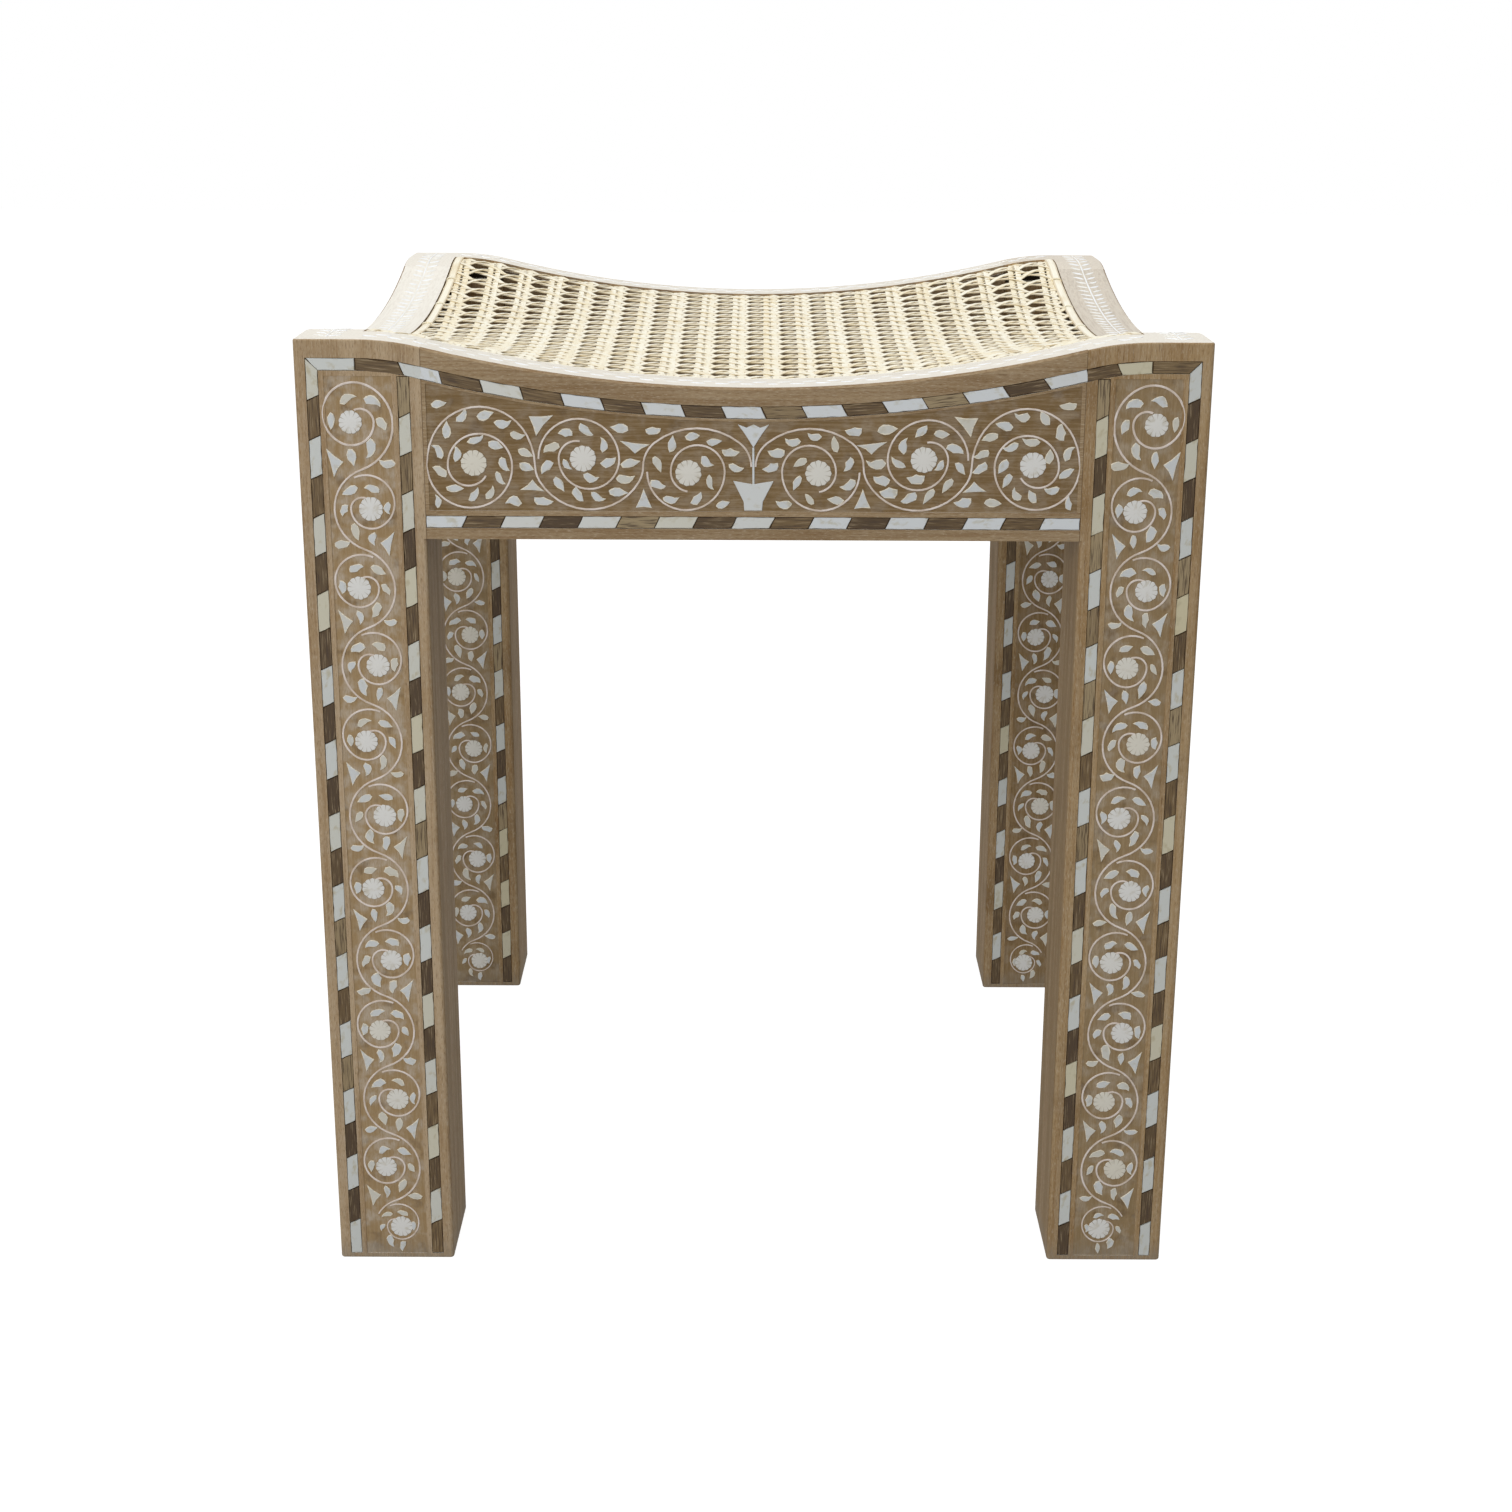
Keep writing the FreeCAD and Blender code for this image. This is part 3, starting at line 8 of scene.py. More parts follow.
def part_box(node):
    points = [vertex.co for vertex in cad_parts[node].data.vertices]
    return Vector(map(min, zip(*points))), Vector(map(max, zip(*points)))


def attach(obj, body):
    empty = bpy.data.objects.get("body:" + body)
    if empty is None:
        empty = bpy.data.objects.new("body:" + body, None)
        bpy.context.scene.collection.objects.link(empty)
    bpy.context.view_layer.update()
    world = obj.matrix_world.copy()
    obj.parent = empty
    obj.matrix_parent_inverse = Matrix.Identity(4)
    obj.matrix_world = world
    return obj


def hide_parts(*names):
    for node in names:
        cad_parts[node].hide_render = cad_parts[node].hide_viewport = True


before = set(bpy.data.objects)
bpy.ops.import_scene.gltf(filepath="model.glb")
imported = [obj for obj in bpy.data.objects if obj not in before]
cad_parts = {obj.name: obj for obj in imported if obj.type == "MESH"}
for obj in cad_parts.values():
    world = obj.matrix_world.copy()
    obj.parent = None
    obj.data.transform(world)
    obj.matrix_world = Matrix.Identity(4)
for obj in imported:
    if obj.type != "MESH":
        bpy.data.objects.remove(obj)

# Inlaid stool with a woven cane seat. Metres; +X to the right, +Y to the back, +Z up.
MM = 0.001
UP = Vector((0, 0, 1))
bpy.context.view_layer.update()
random.seed(7)
# Without its own seed, noise_vector gives other values in each run.
noise.seed_set(7)

# Sizes read from the frame
post_low, post_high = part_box("front_right_leg")
HALF_WIDTH = post_high.x
HALF_DEPTH = -post_low.y
HEIGHT = post_high.z
LEG_WIDTH = post_high.x - post_low.x
LEG_DEPTH = post_high.y - post_low.y
APRON_X = HALF_WIDTH - LEG_WIDTH
APRON_Y = HALF_DEPTH - LEG_DEPTH
APRON_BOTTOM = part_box("front_apron")[0].z

# The seat frame's hollow
RIM_WIDTH = 30 * MM
INNER_EDGE = 4.2 * MM
DISH_RADIUS = 700 * MM
OPEN_X = HALF_WIDTH - RIM_WIDTH
OPEN_Y = HALF_DEPTH - RIM_WIDTH
CROWN_X = DISH_RADIUS * (OPEN_X / APRON_X - 1)
CROWN_Y = DISH_RADIUS * (OPEN_Y / APRON_Y - 1)
SAG_X = DISH_RADIUS + CROWN_X - math.sqrt((DISH_RADIUS + CROWN_X) ** 2 - OPEN_X ** 2)
SAG_Y = DISH_RADIUS + CROWN_Y - math.sqrt((DISH_RADIUS + CROWN_Y) ** 2 - OPEN_Y ** 2)

# Inlay on a face, from its edges inwards
TILE_LENGTH = 19.8 * MM
TILE_WIDTH = 6.2 * MM
TILE_DEPTH = 1.0 * MM
TILE_SLANT = 3.0 * MM
TILE_GAP = 0.28 * MM
TILE_WANDER = 0.34 * MM
TILE_WAVE = 4 * MM
TILE_LIFTS_MM = (-0.03, 0.05)
JOINT_TILE = 9.5 * MM
EDGE_MARGIN = 5.6 * MM
TOP_MARGIN = 9.2 * MM
BAND_WIDTH = 2.6 * MM
FOOT_MARGIN = 3.0 * MM
END_MARGIN = 2.0 * MM
FIELD_DEPTH = 0.4 * MM
STRIP_INSET = EDGE_MARGIN + TILE_WIDTH
FIELD_INSET = STRIP_INSET + BAND_WIDTH
LEG_FIELD_TOP = HEIGHT - TOP_MARGIN - TILE_WIDTH - BAND_WIDTH
APRON_TOP = HEIGHT - SAG_X
BED_MARGIN = 0.15 * MM
JOINT_LINE = 0.44 * MM
# A face looks along an axis if its normal has more than this share along it.
UPRIGHT_SHARE = 0.9

# Small pieces of the scrolls
WIRE_WIDTH = 1.05 * MM
WIRE_SIDES = 6
WIRE_FLATNESS = 0.6
WIRE_STEP = 9
WIRE_SINK = 0.24 * MM
ROSETTE_RADIUS = 6.0 * MM
APRON_ROSETTE_RADIUS = 6.6 * MM
ROSETTE_PETALS = 12
ROSETTE_NOTCH_SHARE = 0.95
ROSETTE_CROWN = 0.12 * MM
LEAF_LENGTH = 8.8 * MM
LEAF_WIDTH = 4.7 * MM
APRON_LEAF_SCALE = 0.96
TRIANGLE_WAIST = 0.86
TOKEN_BEVEL = 0.18 * MM
PROUD = 0.08 * MM
SAW_WAVE = 3 * MM
# How far the pieces differ: shares of their size, and degrees
LEAF_LENGTH_RANGE = (0.92, 1.10)
LEAF_WIDTH_RANGE = (0.88, 1.12)
LEAF_TURN_RANGE = (-7, 7)
ROSETTE_SIZE_RANGE = (0.96, 1.04)

# The leg scroll, as shares of its pitch, for the unit whose stem passes on the left
LEG_PITCH_SHARE = 1.21
STEM_SWING_SHARE = 0.354
SPIRAL_START_SHARES = (-0.096, 0.402)
SPIRAL_HEADING = 25
SPIRAL_TURNS_SHARES = ((0.342, -175), (0.247, -120), (0.143, -115))
# At the top the stem bends over into the first spiral.
TOP_BEND_SHARES = (0.4435, -65)
# The top unit is taller and the last one shorter, and the stem ends soon after it has passed.
TOP_UNIT_SHARE = 1.15
LAST_UNIT_SHARE = 0.79
STEM_END_SHARE = 0.3
ROSETTE_PLACE_SHARES = (0.096, 0.010)
# Each leaf: centre, the way its tip points in degrees, length
LEG_LEAF_SHARES = (
    (-0.155, 0.235, 200, 0.95),
    (-0.240, -0.005, 240, 0.75),
    (-0.105, -0.275, 285, 1.0),
    (0.100, -0.365, 262, 0.85),
    (0.120, 0.265, 160, 0.85),
    (0.300, 0.020, 268, 0.80),
    (-0.275, -0.430, 8, 0.85),
)
LEG_TRIANGLE_SHARES = ((0.372, -0.265), (0.190, -0.415), (0.300, -0.585))
LAST_LEAF_SHARE = -0.4

# The apron scroll, as shares of its pitch
APRON_UNITS = 6
MIDDLE_LINE_SHARE = 0.42
OUTER_SPIRAL_SHARES = ((0.393, 180), (0.297, 180), (0.187, 150))
MIDDLE_SPIRAL_SHARES = ((0.372, -180), (0.279, -180), (0.168, -100))
INNER_SPIRAL_SHARES = ((0.358, 180), (0.249, 180), (0.186, 80))
# The main stem's three arches from the middle, each with its rise, springing radius and side
STEM_ARCHES_SHARES = ((0.355, 0.28, 1), (0.405, 0.28, -1), (0.545, 0.62, 1))
# How far the middle and the inner strand spring above the middle line
STRAND_START_SHARES = (0.066, -0.050)
APRON_ROSETTE_SHARES = ((2.578, 0.025), (1.570, 0.070), (0.600, -0.060))
APRON_TRIANGLE_SHARES = (
    ((2.062, 0.459), (1.998, 0.278), (1.838, 0.470)),
    ((2.158, -0.224), (2.041, -0.128), (1.934, -0.235)),
    ((1.229, 0.235), (1.090, 0.118), (0.951, 0.203)),
    ((1.090, -0.385), (1.015, -0.203), (0.934, -0.389)),
)
# Leaves of a half apron: place from the middle and above the middle line, tip's direction, length share.
APRON_LEAF_SHARES = (
    (2.88, 0.57, 5, 0.95), (2.67, 0.46, 50, 1.00), (2.46, 0.47, 15, 1.00), (2.30, 0.39, 5, 1.00),
    (2.17, 0.28, -15, 1.00), (2.10, 0.12, -30, 1.00), (2.09, -0.01, -30, 1.00), (2.82, 0.33, 90, 1.00),
    (2.90, 0.14, 120, 1.00), (2.89, -0.05, 150, 1.00), (2.76, -0.21, 0, 1.00), (2.58, -0.27, 50, 0.90),
    (2.43, -0.25, 60, 0.90), (2.55, 0.24, 15, 1.00), (2.37, 0.19, -25, 1.00), (2.73, 0.11, 85, 0.95),
    (2.30, 0.01, -60, 1.00), (2.34, -0.12, -65, 0.95), (2.22, -0.33, 185, 1.10), (1.94, -0.33, -5, 1.10),
    (2.92, -0.33, 90, 0.80), (1.73, 0.31, 175, 0.95), (1.54, 0.33, -45, 1.00), (1.38, 0.20, 100, 1.00),
    (1.33, 0.04, 30, 1.00), (1.86, 0.17, 195, 1.00), (1.91, -0.01, 230, 0.95), (1.72, 0.01, -55, 0.80),
    (1.50, -0.11, -10, 1.00), (1.79, -0.17, -60, 0.95), (1.62, -0.27, -60, 1.00), (1.44, -0.29, -30, 1.00),
    (1.25, -0.24, -5, 1.10), (1.18, -0.12, 10, 1.10), (1.13, 0.03, 10, 1.15), (1.23, 0.35, 170, 1.15),
    (0.92, 0.33, 0, 0.95), (0.75, 0.21, 80, 0.95), (0.56, 0.28, 10, 0.95), (0.36, 0.23, 5, 0.95),
    (0.21, 0.13, 0, 1.00), (0.16, -0.01, -20, 1.00), (0.88, 0.02, -65, 1.00), (0.88, -0.17, -25, 1.00),
    (0.76, -0.31, 0, 1.00), (0.52, -0.30, 50, 0.85), (0.28, -0.35, 10, 0.95), (0.43, 0.04, -30, 1.00),
    (0.40, -0.15, -70, 0.90),
)

# Outlines of the cut bone pieces, as shares of their length and width, tip to the right
LEAF_OUTLINES_SHARES = (
    ((-0.50, 0.20), (-0.42, -0.12), (-0.24, -0.42), (0.00, -0.50), (0.22, -0.36), (0.38, -0.10),
     (0.50, 0.26), (0.24, 0.20), (-0.02, 0.36), (-0.28, 0.46)),
    ((-0.50, 0.06), (-0.40, -0.34), (-0.16, -0.50), (0.08, -0.42), (0.30, -0.22), (0.50, 0.04),
     (0.28, 0.26), (0.04, 0.46), (-0.20, 0.40), (-0.36, 0.26)),
    ((-0.46, -0.18), (-0.30, -0.50), (0.00, -0.46), (0.24, -0.40), (0.40, -0.14), (0.50, 0.18),
     (0.20, 0.30), (-0.04, 0.50), (-0.26, 0.38), (-0.50, 0.28)),
)
TULIP_WIDTH = 15.5 * MM
TULIP_HEIGHT = 11.5 * MM
TULIP_SHARES = ((0.0, 0.0), (0.27, 0.58), (0.50, 1.0), (0.22, 0.86), (0.0, 1.0), (-0.22, 0.86),
                (-0.50, 1.0), (-0.27, 0.58))
VASE_WIDTH = 20 * MM
VASE_HEIGHT = 15 * MM
VASE_SHARES = ((-0.22, 0.0), (0.22, 0.0), (0.24, 0.30), (0.50, 1.0), (0.20, 0.93), (0.0, 0.88),
               (-0.20, 0.93), (-0.50, 1.0), (-0.24, 0.30))

# Rims
RIM_GROUND_WIDTH = 19.1 * MM
RIM_LEAF_PITCH = 12.4 * MM
RIM_PAIR_PITCH = 9 * MM
RIM_LEAF_LENGTH = 7.6 * MM
RIM_LEAF_WIDTH = 2.5 * MM
RIM_PAIR_OFFSET_SHARE = 0.52
RIM_PAIR_LEAN = 52
RIM_ROW_LEAN = 12
RIM_ROW_OFFSET = 3.2 * MM
RIM_DASH_WIDTH = 0.9 * MM
RIM_DASH_BEVEL = 0.1 * MM
SIDE_RIM_END = 8 * MM
FRONT_RIM_END = 4 * MM
RIM_GROUND_DEPTH = 0.2 * MM
RIM_LEAF_LIFT = 0.3 * MM
RIM_STATIONS = 40

# Cane: pairs of uprights and cross strands, and two ways of diagonals
CANE_RECESS = 0.7 * MM
CANE_MIDDLE = 0.5 * MM
CANE_ROWS = 19
ROW_PITCH = 2 * OPEN_Y / CANE_ROWS
FRONT_COLUMN_PITCH = 17.8 * MM
BACK_COLUMN_PITCH = 19.8 * MM
CANE_COLUMNS = math.ceil(OPEN_X / FRONT_COLUMN_PITCH)
STRAND_WIDTH = 3.3 * MM
CROSSING_WIDTH = 3.7 * MM
DIAGONAL_WIDTH = 3.5 * MM
STRAND_THICKNESS = 0.5 * MM
STRAND_CROWN_SHARE = 0.35
STRAND_CLEARANCE = 0.4 * MM
STRAND_WANDER = 0.55 * MM
WANDER_PER_ROW = 0.45
SWELL_RANGE = (0.92, 1.08)
PAIR_OFFSET_X = 2.3 * MM
PAIR_OFFSET_Y = 2.7 * MM
# A pair's spread at the front and back rail, and how much it grows with each row from there
PAIR_END_SHARE = 0.35
PAIR_OPENING = 1.3
WEAVE_HEIGHT = 0.3 * MM
DIAGONAL_HEIGHT = 0.55 * MM
WAVE_SHARPNESS = 2.2
STATIONS_PER_CELL = 8
END_DIP = 1.0 * MM
END_DIP_LENGTH = 4.5 * MM
BINDER_WIDTH = 4.8 * MM
BINDER_THICKNESS = 1.2 * MM
BINDER_INSET = 0.9 * MM
BINDER_END = 0.5 * MM
BINDER_STATIONS = 60
TIE_SPACING = 3
TIE_WIDTH = 2.2 * MM
TIE_SHIFT_MM = (-2, 2)
# A tie's bends over the strip: share of the strip's half width, height in mm
TIE_BENDS = ((1.18, -1.6), (1.16, 0.0), (0.96, 0.85), (0.5, 1.2), (0.0, 1.3), (-0.5, 1.2), (-0.96, 0.85),
             (-1.16, 0.0), (-1.18, -1.6))


# Modelling helpers

def deselect():
    bpy.ops.object.select_all(action="DESELECT")


def activate(piece):
    deselect()
    piece.select_set(True)
    bpy.context.view_layer.objects.active = piece
    return piece


def just_added(name):
    """Names the primitive that was just added and puts its place into its mesh."""
    piece = bpy.context.active_object
    piece.name = name
    bpy.ops.object.transform_apply(location=True, rotation=True, scale=True)
    return piece


def edit(piece, kind, chosen):
    """Opens edit mode with the vertices, edges or faces selected that the test chooses."""
    activate(piece)
    bpy.ops.object.mode_set(mode="EDIT")
    bpy.ops.mesh.select_mode(type=kind)
    bpy.ops.mesh.select_all(action="DESELECT")
    bpy.ops.object.mode_set(mode="OBJECT")
    items = {"VERT": piece.data.vertices, "EDGE": piece.data.edges, "FACE": piece.data.polygons}[kind]
    for item in items:
        item.select = chosen(item)
    bpy.ops.object.mode_set(mode="EDIT")


def close_edit(piece):
    """Turns all faces outwards and leaves edit mode."""
    bpy.ops.mesh.select_all(action="SELECT")
    bpy.ops.mesh.normals_make_consistent(inside=False)
    bpy.ops.object.mode_set(mode="OBJECT")
    return piece


def thicken(piece, thickness):
    """Draws a flat piece down to its thickness."""
    shell = piece.modifiers.new("thickness", "SOLIDIFY")
    shell.thickness = thickness
    shell.offset = -1
    bpy.ops.object.modifier_apply(modifier="thickness")


def map_flat(piece):
    """Keeps the piece's own flat coordinates as its grain map, in metres."""
    layer = piece.data.uv_layers.new(name="grain")
    for loop in piece.data.loops:
        place = piece.data.vertices[loop.vertex_index].co
        layer.data[loop.index].uv = (place.x, place.y)
    return piece


def stamp(master, matrix, rough=0.0):
    """A copy of a master piece with its own mesh, placed, and roughened as a hand saw leaves it."""
    piece = master.copy()
    piece.data = master.data.copy()
    bpy.context.scene.collection.objects.link(piece)
    tone = random.random()
    if rough:
        for vertex in piece.data.vertices:
            x, y, z = vertex.co
            shift = noise.noise_vector(Vector((x / SAW_WAVE, y / SAW_WAVE, tone * 50))) * rough
            vertex.co = (x + shift.x, y + shift.y, z)
    piece.data.transform(matrix)
    if matrix.determinant() < 0:
        piece.data.flip_normals()
    tones = piece.data.attributes.new("tone", "FLOAT", "POINT")
    tones.data.foreach_set("value", [tone] * len(piece.data.vertices))
    return piece


def gather(name, pieces, finish, nodes=(), smooth=None):
    """Joins copies into one piece that rides on the stool and stands for its nodes."""
    activate(pieces[0])
    for piece in pieces:
        piece.select_set(True)
    bpy.ops.object.join()
    joined = bpy.context.active_object
    joined.name = name
    joined.data.name = name
    joined.data.materials.clear()
    joined.data.materials.append(finish)
    if smooth:
        bpy.ops.object.shade_smooth_by_angle(angle=math.radians(smooth))
    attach(joined, "root")
    if nodes:
        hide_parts(*nodes)
    return joined


def turned(point, angle, centre=(0.0, 0.0)):
    """A point turned by an angle in degrees, and moved by the centre that it turned about."""
    c = math.cos(math.radians(angle))
    s = math.sin(math.radians(angle))
    return (centre[0] + point[0] * c - point[1] * s, centre[1] + point[0] * s + point[1] * c)


def on_face(u, v, angle=0.0, scale=1.0, mirror=1, lift=0.0):
    """The place of a flat piece on a drawing: u to the right, v up, turned, scaled and maybe mirrored."""
    turn = Matrix.Rotation(math.radians(angle), 4, "Z")
    size = Matrix.Diagonal((mirror * scale, scale, 1, 1))
    return Matrix.Translation((u, v, lift)) @ size @ turn


def placed(origin, right, up, forward):
    """Turns a drawing's three axes to these directions and moves it to the origin given."""
    return Matrix.Translation(origin) @ Matrix((right, up, forward)).transposed().to_4x4()


def facing(origin, normal):
    """Puts a drawing on a face that looks along the normal, with v as near to up as can be."""
    right = UP.cross(normal).normalized()
    return placed(origin, right, normal.cross(right), normal)


# Master pieces, each modelled once

def token(name, outline, depth, bevel=TOKEN_BEVEL):
    """A flat cut piece: a disc shaped to its outline, drawn down to its depth, its upper edge eased.
    Its "rim" attribute is 1 along the edge and fades to 0 at its middle."""
    deselect()
    bpy.ops.mesh.primitive_circle_add(vertices=len(outline), radius=1, fill_type="NGON")
    piece = just_added(name)
    for vertex, (x, y) in zip(piece.data.vertices, outline):
        vertex.co = (x, y, -depth)
    edit(piece, "FACE", lambda face: True)
    bpy.ops.mesh.extrude_region_move(TRANSFORM_OT_translate={"value": (0, 0, depth)})
    bpy.ops.object.mode_set(mode="OBJECT")
    edit(piece, "EDGE", lambda edge: all(piece.data.vertices[v].co.z > -depth / 2 for v in edge.vertices))
    bpy.ops.mesh.bevel(offset=bevel, segments=1, affect="EDGES")
    bpy.ops.object.mode_set(mode="OBJECT")
    edit(piece, "FACE", lambda face: len(face.vertices) == len(outline) and face.normal.z > 0.9)
    bpy.ops.mesh.poke()
    bpy.ops.object.mode_set(mode="OBJECT")
    faces = [set(face.vertices) for face in piece.data.polygons if face.select]
    middle = set.intersection(*faces)
    rims = piece.data.attributes.new("rim", "FLOAT", "POINT")
    rims.data.foreach_set("value", [0.0 if v.index in middle else 1.0 for v in piece.data.vertices])
    activate(piece)
    bpy.ops.object.mode_set(mode="EDIT")
    close_edit(piece)
    return map_flat(piece)


def leaf_masters(length, width):
    return [token("leaf_master_%d" % number, [(x * length, y * width) for x, y in outline], FIELD_DEPTH)
            for number, outline in enumerate(LEAF_OUTLINES_SHARES)]


def rosette_master():
    """A round flower: its rim is notched, and each notch runs inwards as a saw cut."""
    step = 180 / ROSETTE_PETALS
    outline = []
    for number in range(2 * ROSETTE_PETALS):
        share = 1.0 if number % 2 else ROSETTE_NOTCH_SHARE
        outline.append(turned((ROSETTE_RADIUS * share, 0), number * step))
    piece = token("rosette_master", outline, FIELD_DEPTH)
    edit(piece, "VERT", lambda vertex: vertex.co.z > -PROUD and vertex.co.xy.length < ROSETTE_RADIUS / 2)
    bpy.ops.transform.translate(value=(0, 0, ROSETTE_CROWN))
    return close_edit(piece)


def tile_master():
    """One inlay tile: a grid drawn down to its depth, so that its edges can wander."""
    deselect()
    bpy.ops.mesh.primitive_grid_add(x_subdivisions=5, y_subdivisions=2, size=1, location=(0.5, 0.5, 0))
    piece = just_added("tile_master")
    edit(piece, "VERT", lambda vertex: True)
    bpy.ops.transform.resize(value=(TILE_LENGTH, TILE_WIDTH, 1), center_override=(0, 0, 0))
    bpy.ops.object.mode_set(mode="OBJECT")
    thicken(piece, TILE_DEPTH)

    def on_rim(edge):
        ends = [piece.data.vertices[v].co for v in edge.vertices]
        if min(end.z for end in ends) < -TILE_DEPTH / 2:
            return False
        return any(all(abs(end[axis] - limit) < TILE_WIDTH / 100 for end in ends)
                   for axis, limit in ((0, 0), (0, TILE_LENGTH), (1, 0), (1, TILE_WIDTH)))

    edit(piece, "EDGE", on_rim)
    bpy.ops.mesh.bevel(offset=TOKEN_BEVEL, segments=1, affect="EDGES")
    close_edit(piece)
    return map_flat(piece)


def wire(name, start, heading, turns):
    """A vine line: its section is spun about the centre of each of its arcs in turn."""
    deselect()
    bpy.ops.mesh.primitive_circle_add(vertices=WIRE_SIDES, radius=WIRE_WIDTH / 2, location=(*start, 0),
                                      rotation=(math.pi / 2, 0, math.radians(heading - 90)))
    piece = just_added(name)
    edit(piece, "VERT", lambda vertex: True)
    bpy.ops.transform.resize(value=(1, 1, WIRE_FLATNESS), center_override=(*start, 0))
    place = start
    for radius, sweep in turns:
        side = 1 if sweep > 0 else -1
        centre = turned((0, side * radius), heading, place)
        steps = max(3, round(abs(sweep) / WIRE_STEP))
        bpy.ops.mesh.spin(steps=steps, angle=-math.radians(sweep), center=(*centre, 0), axis=(0, 0, 1))
        heading += sweep
        place = turned((0, -side * radius), heading, centre)
    bpy.ops.mesh.select_all(action="DESELECT")
    bpy.ops.mesh.select_non_manifold(extend=False)
    bpy.ops.mesh.fill_holes(sides=0)
    return close_edit(piece)


def flat_arch(half_span, rise, springing, side):
    """Three tangent arcs that make a half turn flatter than a half circle."""
    top = (half_span ** 2 + rise ** 2 - 2 * half_span * springing) / (2 * (rise - springing))
    lean = math.degrees(math.atan2(top - rise, half_span - springing)) % 180
    return [(springing, side * lean), (top, side * (180 - 2 * lean)), (springing, side * lean)]


def scaled_turns(shares, pitch):
    return [(share * pitch, sweep) for share, sweep in shares]


# Places of tiles: each is four corners, from the lower left one round to the upper left one

def tile_ends(start, stop):
    """Where tiles meet: an odd number of one length, so that both ends are alike."""
    count = 2 * round(((stop - start) / TILE_LENGTH - 1) / 2) + 1
    return [start + (stop - start) * number / count for number in range(count + 1)]


def tile_runs(ends):
    """Each tile's two ends with the slants of its joints there; the strip's own ends are square."""
    for number, (begin, end) in enumerate(zip(ends, ends[1:])):
        before = 0 if number == 0 else TILE_SLANT / 2
        after = 0 if number == len(ends) - 2 else TILE_SLANT / 2
        yield begin, end, before, after


def upright_tiles(left, low, high):
    """A vertical strip whose joints rise to the right."""
    right = left + TILE_WIDTH
    return [((right, bottom + under), (right, top + over), (left, top - over), (left, bottom - under))
            for bottom, top, under, over in tile_runs(tile_ends(low, high))]


def level_tiles(low, left, right):
    """A horizontal strip whose joints lean to the right."""
    high = low + TILE_WIDTH
    return [((begin - before, low), (end - after, low), (end + after, high), (begin + before, high))
            for begin, end, before, after in tile_runs(tile_ends(left, right))]


def hollow_point(place, below, sag):
    """A point under the hollowed edge of an apron, measured square to that edge."""
    angle = math.asin(place / DISH_RADIUS)
    reach = DISH_RADIUS + below
    return (reach * math.sin(angle), HEIGHT - sag + DISH_RADIUS - reach * math.cos(angle))


def hollow_tiles(half_length, sag):
    """The upper strip of an apron, which follows the hollow; its joints lean to the left."""
    ends = tile_ends(-half_length - JOINT_TILE, half_length)
    ends[0] = -half_length
    upper = TOP_MARGIN
    lower = TOP_MARGIN + TILE_WIDTH
    shrink = DISH_RADIUS / (DISH_RADIUS + upper)
    tiles = []
    for begin, end, before, after in tile_runs(ends):
        corners = ((begin + before, lower), (end + after, lower),
                   (end - after, upper), (begin - before, upper))
        tiles.append([hollow_point(place * shrink, below, sag) for place, below in corners])
    return tiles


def leg_rim_tiles(span, crown, outer_left):
    """Bone and dark tiles of a leg's top strip, mitred at the corner and hollowed like the rim."""
    lower = TOP_MARGIN + TILE_WIDTH

    def spot(along, below):
        if along <= RIM_WIDTH:
            u, v = along, HEIGHT - below
        else:
            angle = math.asin((along - RIM_WIDTH) / (crown - below))
            u = RIM_WIDTH + (crown - below) * math.sin(angle)
            v = HEIGHT - crown + (crown - below) * math.cos(angle)
        return (u if outer_left else span - u, v)

    inner_end = span - JOINT_TILE if outer_left else (RIM_WIDTH + span) / 2
    ends = [STRIP_INSET, RIM_WIDTH, inner_end, span]
    slant = (-1 if outer_left else 1) * TILE_SLANT / 2
    tiles = []
    for number, (begin, end) in enumerate(zip(ends, ends[1:])):
        near = slant if number == 2 else 0
        far = slant if number == 1 else 0
        begin_top = EDGE_MARGIN if number == 0 else begin + near
        corners = (spot(begin - near, lower), spot(end - far, lower), spot(end + far, TOP_MARGIN),
                   spot(begin_top, TOP_MARGIN))
        tiles.append(corners if outer_left else tuple(corners[n] for n in (1, 0, 3, 2)))
    return (tiles[::2], tiles[1::2]) if outer_left else (tiles[1::2], tiles[::2])


def set_tile(master, corners, place):
    """A copy of the tile, stretched to four corners with a hair's gap and sawn a little unevenly."""
    piece = stamp(master, Matrix.Identity(4))
    seed = random.random() * 50
    shrink_s = TILE_GAP / TILE_LENGTH
    shrink_t = TILE_GAP / TILE_WIDTH
    a, b, c, d = (Vector(corner) for corner in corners)
    for vertex in piece.data.vertices:
        s = shrink_s + (1 - 2 * shrink_s) * vertex.co.x / TILE_LENGTH
        t = shrink_t + (1 - 2 * shrink_t) * vertex.co.y / TILE_WIDTH
        flat = a * (1 - s) * (1 - t) + b * s * (1 - t) + c * s * t + d * (1 - s) * t
        shift = noise.noise_vector(Vector((flat.x / TILE_WAVE, flat.y / TILE_WAVE, seed))) * TILE_WANDER
        vertex.co = (flat.x + shift.x, flat.y + shift.y, vertex.co.z)
    piece.data.transform(place @ Matrix.Translation((0, 0, random.uniform(*TILE_LIFTS_MM) * MM)))
    return piece


# Scrolls

def rough_leaf(place, u, v, angle, scale, mirror=1):
    """One bone leaf; no two are cut or set quite alike."""
    master = random.choice(LEAVES)
    size = scale * random.uniform(*LEAF_LENGTH_RANGE)
    local = on_face(u, v, angle + random.uniform(*LEAF_TURN_RANGE), lift=PROUD)
    local = local @ Matrix.Diagonal((size, mirror * scale * random.uniform(*LEAF_WIDTH_RANGE), 1, 1))
    return stamp(master, place @ local, rough=0.5 * MM)


